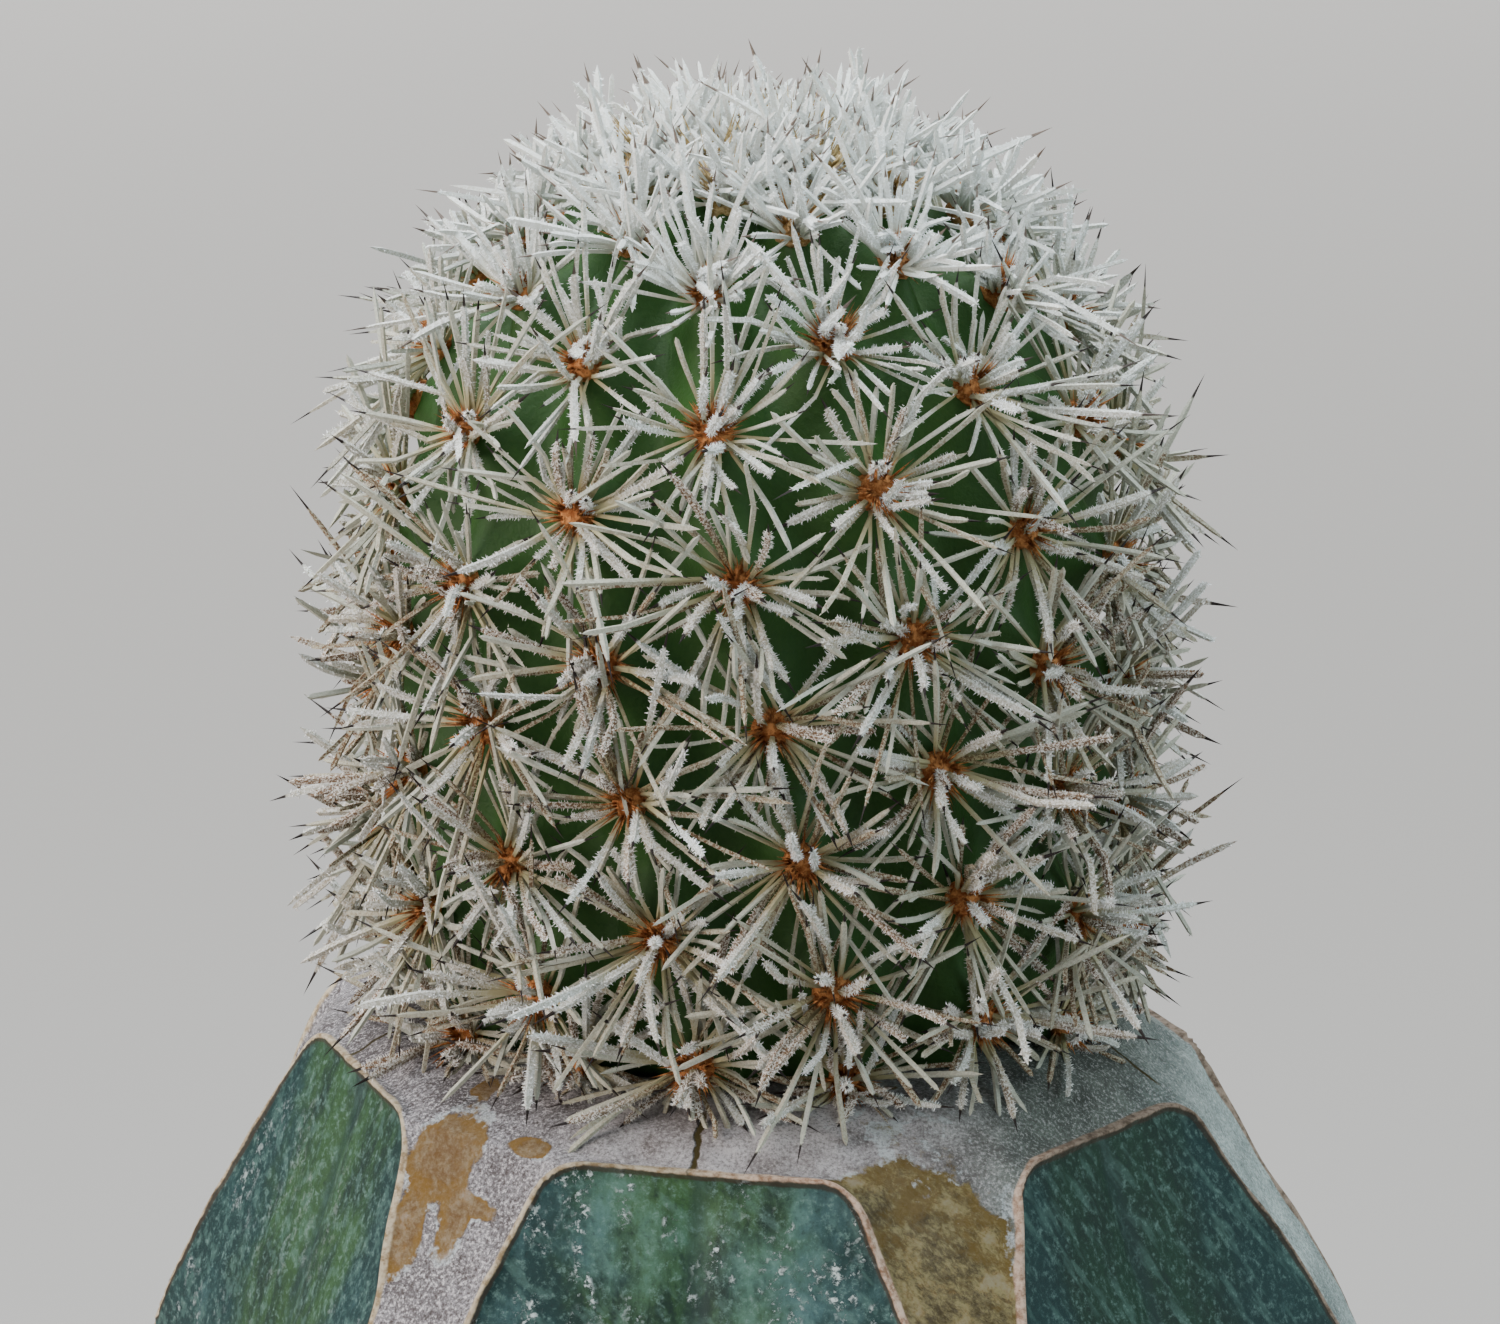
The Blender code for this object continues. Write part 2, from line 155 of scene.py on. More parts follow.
class Amount:
    """A number or colour that varies over a finish. Sums on it become Math nodes."""

    def __init__(self, finish, socket):
        self.finish = finish
        self.socket = socket

    __add__ = __radd__ = maths("ADD")
    __mul__ = __rmul__ = maths("MULTIPLY")
    __sub__ = maths("SUBTRACT")
    __rsub__ = maths("SUBTRACT", swapped=True)
    __abs__ = maths("ABSOLUTE")
    least = maths("MINIMUM")


class Finish:
    """A material of one Principled surface. Each further node comes from add()."""

    def __init__(self, name, shine):
        self.material = bpy.data.materials.new(name)
        self.material.use_nodes = True
        self.tree = self.material.node_tree
        self.surface = self.tree.nodes["Principled BSDF"]
        self.feed(self.surface, {"Specular IOR Level": shine})
        self.spot = self.add("TexCoord", {}, {}, "Object")

    def feed(self, node, sockets):
        """Gives each of a node's sockets its value or link."""
        for key, value in sockets.items():
            if isinstance(value, Amount):
                self.tree.links.new(value.socket, node.inputs[key])
            else:
                node.inputs[key].default_value = value

    def add(self, kind, settings, sockets, output=0):
        made = self.tree.nodes.new("ShaderNode" + kind)
        for name, value in settings.items():
            setattr(made, name, value)
        self.feed(made, sockets)
        return Amount(self, made.outputs[output])

    def grain(self, size, detail=3, roughness=0.55, distortion=0, spot=None):
        """Cloudy noise from 0 to 1. The size of its largest blots is in millimetres."""
        sockets = {"Vector": spot or self.spot, "Scale": 1 / (size * MM), "Detail": detail}
        sockets |= {"Roughness": roughness, "Distortion": distortion}
        return self.add("TexNoise", {}, sockets)

    def mapped(self, kind="POINT", **sockets):
        """The place on the piece, turned or scaled."""
        return self.add("Mapping", {"vector_type": kind}, {"Vector": self.spot} | sockets)

    def along(self, direction):
        """Metres along a direction of the piece."""
        ends = {0: self.spot, 1: direction}
        return self.add("VectorMath", {"operation": "DOT_PRODUCT"}, ends, "Value")

    def mark(self, name):
        """A number that the piece's own points carry."""
        return self.add("Attribute", {"attribute_name": name}, {}, "Fac")

    def step(self, value, low, high):
        """A smooth step from 0 at low to 1 at high. It falls where low is the larger."""
        if low > high:
            return 1 - self.step(value, high, low)
        ends = {"Value": value, "From Min": low, "From Max": high}
        return self.add("MapRange", {"interpolation_type": "SMOOTHSTEP"}, ends)

    def mix(self, share, low, high):
        """A colour between two, each an amount or what paint() takes, by a share from 0 to 1."""
        low, high = (paint(*end) if isinstance(end, tuple) else end for end in (low, high))
        return self.add("Mix", {"data_type": "RGBA"}, {0: share, 6: low, 7: high}, 2)

    def relief(self, height, depth):
        """Raises the surface by a height from 0 to 1 times a depth in millimetres."""
        normal = self.add("Bump", {}, {"Height": height, "Distance": depth * MM})
        self.feed(self.surface, {"Normal": normal})

    def cover(self, colour, roughness):
        self.feed(self.surface, {"Base Color": colour, "Roughness": roughness})


def kept_mesh(name, made):
    """Turns a bmesh into a mesh."""
    mesh = bpy.data.meshes.new(name)
    made.to_mesh(mesh)
    made.free()
    return mesh


def add_object(name, thing):
    made = bpy.data.objects.new(name, thing)
    bpy.context.scene.collection.objects.link(made)
    return made


def place_piece(name, made, finish, slot, *nodes, crease=180):
    """Makes a bmesh a piece of the plant or pot that stands for the named nodes."""
    mesh = kept_mesh(name, made)
    mesh.shade_smooth()
    mesh.set_sharp_from_angle(angle=radians(crease))
    mesh.materials.append(finish.material)
    piece = add_object(name, mesh)
    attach(piece, "root")
    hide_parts(*nodes)


def terracotta():
    """Fired clay: blotchy red, gritty, with pale salts drawn out by the water."""
    clay = Finish("terracotta", 0.25)
    fired = clay.mix(clay.grain(30), (168, 96, 66), (190, 117, 82))
    speck = clay.step(clay.grain(0.9, 2), 0.62, 0.72)
    gritty = clay.mix(speck * 0.55, fired, (120, 66, 46))
    height = clay.along(UP)
    wet = clay.mix(clay.step(height, DAMP_TOP, 20 * MM) * 0.35, gritty, (122, 62, 42))
    near_level = clay.step(abs(height - SALT_LEVEL), 40 * MM, 0)
    salts = clay.step(clay.grain(22, 8, 0.7) + near_level * 0.16, 0.58, 0.9)
    clay.cover(clay.mix(salts * 0.7, wet, (210, 190, 172)), 0.78 + salts * 0.15)
    lines = clay.grain(3, 3, spot=clay.mapped(Scale=(0.05, 0.05, 4)))
    clay.relief(lines * 0.5 + clay.grain(0.5, 3) * 0.35 + salts * 0.3, 0.16)
    return clay


pot_body = turned(pot_section(), POT_STEPS)
place_piece("clay_pot", pot_body, terracotta(), "terracotta", "pot", crease=50)


# The rootstock
# A stout six-ribbed column with blue-green skin. Its top was cut flat and its rib ends pared
# away to sloping bands, which dried to cork, and the skin's cut edges curled up as thin rims.
_, stock_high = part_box("rootstock")
STOCK_TOP = stock_high.z
STOCK_RIBS = 6
SECTOR, HALF_SECTOR = tau / STOCK_RIBS, pi / STOCK_RIBS
STOCK_TURN = radians(22.5)
CAP_RADIUS = 17.2 * MM
LEDGE_RADIUS = 19.2 * MM
LEDGE_DROP = 0.7 * MM
CUT_SLOPE = 0.045
TRIM_DEPTH = 18 * MM
FOOT_DEPTH = 108 * MM
FOOT_SHRINK = 0.8
# depth below the cut, shoulder radius, half angle of the band, sag of the panel, rise of the crest
STOCK_STATIONS = (
    (2.3, 22.3, 11.4, 0, 0), (5.5, 24.2, 8.8, 0.1, 0), (9, 26.2, 6.4, 0.3, 0),
    (13, 28.7, 5.2, 0.8, 0.1), (17.5, 30.8, 4.6, 1.4, 0.3), (23, 31.6, 4.8, 1.8, 0.8),
    (34, 31.8, 5.4, 2, 1), (46, 31.4, 5.4, 2.1, 1), (58, 30.7, 5.6, 1.9, 1),
    (66, 30.2, 5.6, 1.8, 0.9),
)
BORDER_DEPTH = STOCK_STATIONS[0][0] * MM
BORDER_REACH = 22 * MM
BURIED_DEPTH = STOCK_STATIONS[-1][0] * MM
BAND_END = (14 * MM, 20 * MM)
BORDER_CORNER = 1.7 * MM
BORDER_OFFSETS = [offset * MM for offset in (1.2, 0.8, 0.55, 0.35, 0.18)]
BAND_COLUMNS, PANEL_COLUMNS = 4, 13
SIDE_COLUMNS = BAND_COLUMNS + 2 * len(BORDER_OFFSETS) + 1 + PANEL_COLUMNS
RIM_HEIGHT = 0.42 * MM
RIM_INNER_WIDTH, RIM_OUTER_WIDTH = 0.16 * MM, 0.3 * MM
# turns in degrees where the rim curls up most, each at a corner of a panel
CURL_TURNS = (11.5, 132, 251)
CURL_SPREAD, CURL_HEIGHT = 2.6 * MM, 0.45 * MM
CORK_RELIEF = 0.16 * MM
# crest, millimetres across from it, depth, half width, half depth
OCHRE_PATCHES = (
    (0, -0.6, 8.5, 4.6, 7.5), (0, -3.4, 3.2, 2.6, 1.6), (5, -1.7, 3.4, 2.1, 2.2),
    (5, -2.6, 6.2, 1.2, 2.6), (5, 0, 5.6, 1, 1.6), (5, 1.2, 4.9, 1.4, 0.5),
    (5, 2.6, 2, 1.2, 0.4), (5, -2.4, 0.6, 0.8, 0.4), (2, -1, 9, 2.6, 4),
    (2, 2.4, 2.6, 2.2, 1), (3, 0.5, 4, 2, 1.4), (4, -0.5, 11, 2.4, 5),
)
# waxy bloom of each panel, from the one right of the front on round, partly painted shade:
# the lowest value paints the panel right of the front dark, as out of the light
PANEL_BLOOM_AND_SHADE = (-0.5, 0.3, 0.0, 0.4, -0.2, 0.4)
CRACK_TURNS = (-8.4, 71, 160, 286)
CRACK_STRAY = 1.2 * MM
CRACK_EDGES = (0.17 * MM, 0.07 * MM)
SHOULDER_SOFTNESS = radians(2.6)
FURROW_DEPTH = 0.35 * MM


def stock_station(depth):
    """The stations' measures at a depth, drawn smoothly through them."""
    depth = depth / MM
    last = len(STOCK_STATIONS) - 1
    k = max(i for i in range(last) if i == 0 or STOCK_STATIONS[i][0] <= depth)
    before, low, high, after = (STOCK_STATIONS[min(max(k + i, 0), last)] for i in (-1, 0, 1, 2))
    span = high[0] - low[0]
    t = min(max((depth - low[0]) / span, 0), 1)
    values = []
    for b, p, q, a in zip(before[1:], low[1:], high[1:], after[1:]):
        start = (q - b) / (high[0] - before[0]) * span
        end = (a - p) / (after[0] - low[0]) * span
        curve = (2 * t**3 - 3 * t**2 + 1) * p + (t**3 - 2 * t**2 + t) * start
        curve += (3 * t**2 - 2 * t**3) * q + (t**3 - t**2) * end
        values.append(curve)
    radius, half, sag, rise = values
    return radius * MM, radians(half), sag * MM, rise * MM


def sharp_outline(off_crest, station):
    """Radius of the rootstock at an angle from the nearest crest: a flat band, then the panel."""
    radius, half, sag, rise = station
    off_crest = abs(off_crest)
    if off_crest < half:
        return radius * cos(half) / cos(off_crest) + rise * (1 - (off_crest / half) ** 2)
    reach = HALF_SECTOR - half
    off_middle = abs(HALF_SECTOR - off_crest)
    return radius * cos(reach) / cos(off_middle) - sag * (1 - (off_middle / reach) ** 2)


def outline(off_crest, depth):
    """Radius of the rootstock, with its shoulders rounded where the knife didn't reach."""
    station = stock_station(depth)
    off_crest = min(off_crest, SECTOR - off_crest)
    softness = SHOULDER_SOFTNESS * ease((depth - 0.4 * TRIM_DEPTH) / TRIM_DEPTH)
    samples = [sharp_outline(off_crest + softness * i / 3, station) for i in range(-3, 4)]
    return sum(samples) / len(samples)


def off_crest_at(column, depth):
    """A column's angle from the crest before it. Columns crowd where the skin's border runs."""
    radius, half, _, _ = stock_station(depth)
    column %= 2 * SIDE_COLUMNS
    if column > SIDE_COLUMNS:
        return SECTOR - off_crest_at(2 * SIDE_COLUMNS - column, depth)
    crowd = BORDER_OFFSETS[0] / radius
    offsets = [-o for o in BORDER_OFFSETS] + [0] + BORDER_OFFSETS[::-1]
    if column < BAND_COLUMNS:
        return (half - crowd) * column / BAND_COLUMNS
    if column < BAND_COLUMNS + len(offsets):
        return half + offsets[column - BAND_COLUMNS] / radius
    share = (column - BAND_COLUMNS - len(offsets) + 1) / (PANEL_COLUMNS + 1)
    return blend(half + crowd, HALF_SECTOR, share)


def border_distance(off_crest, depth, below, radius):
    """How far inside the skin's cut border a place lies, in metres. Below 0 it is cork."""
    _, half, _, _ = stock_station(depth)
    band_start, band_end = BAND_END
    across = abs(off_crest) * radius
    if depth <= band_start:
        beside = across - half * radius
    elif depth < band_end:
        tip = (depth - band_start) / (band_end - band_start)
        beside = across - half * radius * sqrt(1 - tip * tip)
    else:
        beside = hypot(across, depth - band_end)
    corner_x, corner_y = BORDER_CORNER - beside, BORDER_CORNER - below
    if corner_x > 0 and corner_y > 0:
        return BORDER_CORNER - hypot(corner_x, corner_y)
    return min(beside, below)


def stock_rows():
    """Rows down the rootstock. 0 to 3 run over the cap and the ledge to the border, and each
    further 1 is a millimetre of depth."""
    rows = [0, 0.5, 1, 1.3, 1.6, 2, 2.15, 2.3, 2.45, 2.6, 2.7, 2.79, 2.85, 2.91, 2.96, 3]
    rows += [3 + offset / MM for offset in BORDER_OFFSETS[::-1]]
    depth = rows[-1]
    while depth < BURIED_DEPTH / MM + 2:
        depth += 0.4 if depth < 14 else 0.8 if depth < 26 else 1.6
        rows.append(depth)
    return rows


def ochre_at(crest, across, depth):
    """Above 0 within an ochre patch of the band on a crest, and falling off outside."""
    level = -1.0
    for there, side, low, half_wide, half_deep in OCHRE_PATCHES:
        if there == crest:
            gap = hypot((across - side) / half_wide, (depth - low) / half_deep)
            level = max(level, 1 - gap)
    return level


def stock_place(column, row):
    """A point of the rootstock's skin, then what it carries: how far inside the skin's border it
    lies, how far from its panel's middle, both in mm, how near an ochre patch, and its bloom,
    which is partly painted shade."""
    if row <= 3:
        off = off_crest_at(column, BORDER_DEPTH)
        edge = outline(off, BORDER_DEPTH)
        bends = [(0, 0), (CAP_RADIUS, 0), (LEDGE_RADIUS, LEDGE_DROP), (edge, BORDER_DEPTH)]
        k = min(int(row), 2)
        radius, depth = (blend(a, b, row - k) for a, b in zip(bends[k], bends[k + 1]))
        below = -hypot(edge - radius, BORDER_DEPTH - depth)
        skew = ease((radius - CAP_RADIUS) / (edge - CAP_RADIUS))
    else:
        depth = BORDER_DEPTH + (row - 3) * MM
        off = off_crest_at(column, depth)
        radius = outline(off, depth)
        below = (depth - BORDER_DEPTH) * 1.2
        skew = 1
    sector = column // (2 * SIDE_COLUMNS)
    turn = STOCK_TURN + sector * SECTOR + off
    nearest = min(off, SECTOR - off)
    inside = border_distance(nearest, depth, below, radius)
    spot = around(radius, turn, STOCK_TOP - depth)
    spot.z -= CUT_SLOPE * spot.x * (1 - ease(depth / TRIM_DEPTH)) * skew
    outward = around(1, turn, 1.1 * (1 - ease(below / (4 * MM)))).normalized()
    spot += outward * stock_relief(spot, inside, depth, nearest)
    from_crest = off if off < HALF_SECTOR else off - SECTOR
    crest = sector if from_crest >= 0 else (sector + 1) % STOCK_RIBS
    middle = (HALF_SECTOR - nearest) * radius
    ochre = ochre_at(crest, from_crest * radius / MM, depth / MM)
    beside = PANEL_BLOOM_AND_SHADE[(sector + (1 if off > HALF_SECTOR else -1)) % STOCK_RIBS]
    at_crest = (PANEL_BLOOM_AND_SHADE[sector] + beside) / 2
    bloom_and_shade = blend(at_crest, PANEL_BLOOM_AND_SHADE[sector], ease(nearest / (SECTOR / 4)))
    return (spot, inside / MM, middle / MM, ochre, bloom_and_shade)


def curl_at(spot):
    """From 0 to 1, how near a place is to a corner where the rim curls up."""
    height = STOCK_TOP - BORDER_DEPTH
    corners = (around(BORDER_REACH, radians(turn), height) for turn in CURL_TURNS)
    gap = min((spot - corner).length for corner in corners)
    return exp(-((gap / CURL_SPREAD) ** 2))


def stock_relief(spot, inside, depth, nearest):
    """How far the surface stands proud: curled rims, lumpy cork, and a furrow down each panel."""
    width = RIM_INNER_WIDTH if inside > 0 else RIM_OUTER_WIDTH
    uneven = 0.8 + 0.9 * noise.noise(spot / (3.5 * MM))
    fade = 1 - 0.6 * ease(depth / BAND_END[1])
    curl = curl_at(spot)
    height = RIM_HEIGHT * uneven * fade + CURL_HEIGHT * curl
    rim = height * exp(-((inside / (width * (1 + 0.6 * curl))) ** 2))
    cork = CORK_RELIEF * noise.noise(spot / (1.3 * MM)) * ease(-inside / (0.6 * MM))
    waves = 0.35 * CORK_RELIEF * noise.noise(spot / (4 * MM)) * ease(inside / (1.5 * MM))
    middle = (HALF_SECTOR - nearest) * spot.to_2d().length / (0.9 * MM)
    furrow = FURROW_DEPTH * exp(-middle * middle) * ease(inside / (2 * MM))
    return (rim + cork + waves - furrow) if spot.to_2d().length > LEDGE_RADIUS * 0.93 else 0


def wrapped(columns, rows, place, *marks):
    """A grid bent round into one closed skin. place gives a point, then one value a mark."""
    made = bmesh.new()
    layers = [made.verts.layers.float.new(mark) for mark in marks]
    bmesh.ops.create_grid(made, x_segments=columns, y_segments=rows, size=0.5)
    for corner in made.verts:
        column = round((corner.co.x + 0.5) * columns)
        row = round((corner.co.y + 0.5) * rows)
        corner.co, *values = place(column % columns, row)
        for layer, value in zip(layers, values):
            corner[layer] = value
    bmesh.ops.remove_doubles(made, verts=made.verts, dist=0.002 * MM)
    bmesh.ops.recalc_face_normals(made, faces=made.faces)
    return made


def stock_skin_mesh():
    """The whole rootstock: cap, ledge, panels and bands, and the foot that stands in the soil."""
    rows = stock_rows()

    def place(column, row):
        if row < len(rows):
            return stock_place(column, rows[row])
        spot, *carried = stock_place(column, rows[-1])
        shrink = FOOT_SHRINK if row == len(rows) else 0
        return (Vector((spot.x * shrink, spot.y * shrink, STOCK_TOP - FOOT_DEPTH)), *carried)

    marks = ("border", "middle", "ochre", "bloom_and_shade")
    return wrapped(2 * STOCK_RIBS * SIDE_COLUMNS, len(rows) + 1, place, *marks)


def cracks(skin):
    """Thin dark splits that run from the graft over the ledge to the border."""
    found = 0
    for turn in CRACK_TURNS:
        across = skin.along(around(1, radians(turn + 90), 0))
        outward = skin.along(around(1, radians(turn), 0))
        strayed = abs(across + (skin.grain(2, 5) - 0.5) * CRACK_STRAY)
        line = skin.step(strayed, *CRACK_EDGES) * skin.step(outward, 17 * MM, 18 * MM)
        found = line + found
    return found * skin.step(skin.along(UP), STOCK_TOP - 2.6 * MM, STOCK_TOP - 2.2 * MM)


def panel_colour(skin, fine):
    """Blue-green at a panel's sides and leaf green down its middle, under streaks of bloom. Painted
    shade darkens the panels with little bloom, most the one right of the front.
    """
    middle = skin.mark("middle")
    clouds = skin.grain(5, 5, 0.6)
    streaks = skin.grain(2.2, 6, 0.66, spot=skin.mapped(Scale=(1, 1, 0.2)))
    slanted = skin.mapped("TEXTURE", Rotation=(0, -0.75, 0), Scale=(1, 1, 7))
    scratches = skin.grain(0.7, 3, spot=slanted)
    panel_bloom_and_shade = skin.mark("bloom_and_shade")
    teal = skin.mix(clouds, (1, 26, 27), (14, 54, 54))
    # painted shade: where the bloom mark is low the leaf green is painted darker, most on the panel
    # right of the front
    leaf = skin.mix(skin.step(panel_bloom_and_shade, -0.5, 0), (12, 48, 34), (46, 80, 40))
    green = skin.mix(skin.step(streaks, 0.36, 0.6), (8, 37, 29), leaf)
    sided = skin.mix(skin.step(middle + (clouds - 0.5) * 9, 4, 7.5), green, teal)
    bloom_and_shade = skin.step(streaks * 0.55 + clouds * 0.45 + panel_bloom_and_shade * 0.16, 0.52, 0.74)
    misty = skin.mix(bloom_and_shade * 0.5, sided, (84, 122, 126))
    scratched = skin.mix(skin.step(scratches, 0.5, 0.66) * 0.3, misty, (86, 120, 112))
    pale = skin.mix(skin.step(fine, 0.5, 0.68) * 0.5, scratched, (108, 138, 132))
    dusky = skin.mix(skin.step(fine, 0.48, 0.3) * 0.6, pale, (12, 32, 32))
    # painted shade: darker down the furrow in each panel's middle
    furrow = skin.step(middle + (streaks - 0.5) * 1.5, 0.8, 0.2)
    return skin.mix(furrow * 0.5, dusky, (24, 46, 46))


def flakes_of(skin, fine):
    """Crusty white flakes, which stand in broken upright chains."""
    chains = skin.step(skin.grain(1.9, 3, spot=skin.mapped(Scale=(1, 1, 0.22))), 0.5, 0.6)
    patches = skin.step(skin.grain(5, 2), 0.42, 0.52)
    crumbs = skin.step(skin.grain(0.5, 6, 0.78), 0.53, 0.58) * skin.step(fine, 0.34, 0.46)
    # flakes only where the bloom mark is high, so there are few on the panels painted in shade
    return chains * patches * crumbs * skin.step(skin.mark("bloom_and_shade"), -0.3, 0.1)


def cork_colour(skin, pepper, cloudy):
    """Lilac grey peppered light and dark, most so on the left. Painted shade darkens it on the left
    and more on the right, and paints the far right the grey-green of cork in shade.
    """
    east = skin.along(EAST)
    # painted shade by side: darker towards the right, grey-green at the far right, and darker on the
    # left, where the pepper is also stronger
    painted_shade_right = skin.step(east, 6 * MM, 14 * MM)
    far = skin.step(east, 17 * MM, 25 * MM)
    dusty = skin.step(east, -5 * MM, -13 * MM)
    light, dark = (
        skin.mix(painted_shade_right, skin.mix(dusty, front, left), skin.mix(far, right, farthest))
        for front, left, right, farthest in (
            ((172, 169, 172), (126, 124, 128), (102, 110, 104), (152, 168, 166)),
            ((108, 102, 102), (78, 74, 76), (60, 66, 62), (104, 120, 118)),
        )
    )
    clouded = skin.mix(skin.step(cloudy, 0.28, 0.66), dark, light)
    dark_dots = skin.step(pepper, 0.5, 0.38) * (0.55 + dusty * 0.35)
    light_dots = skin.step(pepper, 0.52, 0.62) * (0.4 + dusty * 0.35)
    return skin.mix(light_dots, skin.mix(dark_dots, clouded, (64, 56, 54)), (206, 202, 204))


def velvet_colour(skin, fibres, level):
    """Short matted fibres, golden brown on the left and olive on the right, darker at the edge."""
    side = skin.step(skin.along(EAST), -8 * MM, 4 * MM)
    patchy = skin.grain(1.6, 5, 0.66)
    light = skin.mix(side, (122, 108, 84), (132, 122, 84))
    dark = skin.mix(side, (92, 66, 28), (60, 50, 24))
    dusty = skin.mix(side, (150, 140, 136), (134, 130, 116))
    edge = skin.mix(side, (112, 84, 28), (98, 78, 26))
    golden = skin.mix(skin.step(patchy, 0.5, 0.64) * 0.7, dark, (128, 94, 32))
    matted = skin.mix(skin.step(fibres * 0.6 + patchy * 0.4, 0.4, 0.62), golden, light)
    worn = skin.mix(skin.step(patchy, 0.56, 0.7) * 0.5, matted, dusty)
    ragged = level + (patchy - 0.5) * 1.8 + (fibres - 0.5) * 0.6
    return skin.mix(skin.step(ragged, 0.5, 0.1) * 0.75, worn, edge)


def rim_of(skin, border):
    """Where the curled rim shows, and its colour: fibrous and pale, with painted shade making it
    darker and browner on the right, out of the light.
    """
    east = skin.step(skin.along(EAST), -6 * MM, 3 * MM)
    # painted shade: the rim darker and browner on the right side
    rim_painted_shade = skin.step(skin.along(EAST), 11 * MM, 16 * MM)
    gap = abs(border + 0.05 + east * 0.05) + (skin.grain(5, 2) - 0.5) * 0.4
    old = skin.mix(rim_painted_shade, skin.mix(east, (126, 108, 80), (134, 102, 80)), (84, 70, 58))
    new = skin.mix(rim_painted_shade, skin.mix(east, (180, 168, 146), (202, 178, 160)), (142, 126, 112))
    fibre_colour = skin.mix(skin.step(skin.grain(0.5, 5, 0.7), 0.34, 0.62), old, new)
    return skin.step(gap - east * 0.08, 0.26, 0.14), fibre_colour


def stock_skin():
    """Blue-green skin with a waxy bloom and crusty flakes, and dried cork where the knife cut."""
    skin = Finish("stock skin", 0.3)
    wobble = skin.grain(1.4, 5, 0.6)
    fine = skin.grain(0.42, 6, 0.8)
    pepper = skin.grain(0.18, 4, 0.8)
    cloudy = skin.grain(3, 6, 0.62)
    combed = skin.mapped("TEXTURE", Rotation=(0, -0.8, 0), Scale=(1, 1, 2))
    fibres = skin.grain(0.3, 6, 0.8, 0.4, combed)
    border = skin.mark("border") + (wobble - 0.5) * 0.24
    is_skin = skin.step(border, 0.05, 0.12)
    flakes = flakes_of(skin, fine)
    crusted = skin.mix(flakes * 0.9, panel_colour(skin, fine), (186, 200, 200))

    level = skin.mark("ochre") + (skin.grain(1.9, 7, 0.62) - 0.5) * 1.5
    velvety = skin.step(level + (pepper - 0.5) * 0.25, 0, 0.14)
    bare, velvet = cork_colour(skin, pepper, cloudy), velvet_colour(skin, fibres, level)
    crust = skin.step(abs(level - 0.02), 0.16, 0.08) * skin.step(wobble, 0.5, 0.56)
    crust = crust * (0.3 + skin.step(pepper, 0.42, 0.56) * 0.45)
    whitened = skin.mix(crust, skin.mix(velvety * 0.94, bare, velvet), (182, 190, 194))
    split = cracks(skin)
    rim, rim_colour = rim_of(skin, border)
    cork = skin.mix(rim, skin.mix(split, whitened, (58, 50, 22)), rim_colour)

    # painted shadow: a dark line where the rim meets the skin, as cast by the rim
    painted_rim_shadow = skin.step(abs(border - 0.14), 0.13, 0.04) * 0.75
    shaded = skin.mix(painted_rim_shadow, skin.mix(is_skin, cork, crusted), (44, 32, 18))
    skin.cover(shaded, 0.92 - is_skin * 0.34 + flakes * 0.25)
    rough_cork = (pepper * 0.5 + cloudy * 0.4 + fibres * velvety * 0.6 - split) * (1 - is_skin)
    skin.relief(rough_cork + (flakes * 0.6 + fine * 0.35) * is_skin, 0.12)
    return skin


place_piece("rootstock_skin", stock_skin_mesh(), stock_skin(), "stock_skin", "rootstock")


# The rootstock's areoles
# Below its pared band each rib carries areoles of its own: grey cushions of felt with a few short
# stiff spines, horn-coloured and dark at the point.
FELT_RADIUS = 0.62 * MM
FELT_SIDES, FELT_ROWS = 8, 5
FELT_FIBRES, FELT_FIBRE_LENGTH, FELT_FIBRE_RADIUS = 46, 0.75 * MM, 0.05 * MM
STOCK_CUSHION = (1.9, 1.9, 1.5)
STOCK_AREOLE_DEPTHS = (31 * MM, 49 * MM)
STOCK_AREOLE_STAGGER = 5 * MM
STOCK_SPINES, STOCK_SPINE_SIDES, STOCK_SPINE_ROWS = 7, 7, 8
STOCK_SPINE_LENGTH, STOCK_SPINE_RADIUS = 5.5 * MM, 0.26 * MM
STOCK_SPINE_LIFTS, STOCK_CENTRAL_LIFT = (24, 46), 80
STOCK_SPINE_SEED = 3


def gathered(placings, *marks):
    """Copies of small meshes in one bmesh. Each placing is a mesh, a matrix and its marks' values."""
    made = bmesh.new()
    for mark in marks:
        made.verts.layers.float.new(mark)
    for mesh, matrix, *values in placings:
        copy = mesh.copy()
        copy.transform(matrix)
        for mark, value in zip(marks, values):
            layer = copy.attributes.get(mark) or copy.attributes.new(mark, "FLOAT", "POINT")
            layer.data.foreach_set("value", [value] * len(copy.vertices))
        made.from_mesh(copy)
        bpy.data.meshes.remove(copy)
    return made


def ring(turn):
    """The direction at a turn round +Z."""
    return Vector((cos(turn), sin(turn), 0))


def fibre(made, root, direction, length, radius):
    """Adds a closed three-sided fibre to a bmesh, and gives its corners."""
    tilt = direction.to_track_quat("Z", "Y")
    fitted = Matrix.LocRotScale(root + direction * length / 2, tilt, None)
    sizes = {"radius1": radius, "radius2": 0, "depth": length, "matrix": fitted}
    return bmesh.ops.create_cone(made, cap_ends=True, segments=3, **sizes)["verts"]


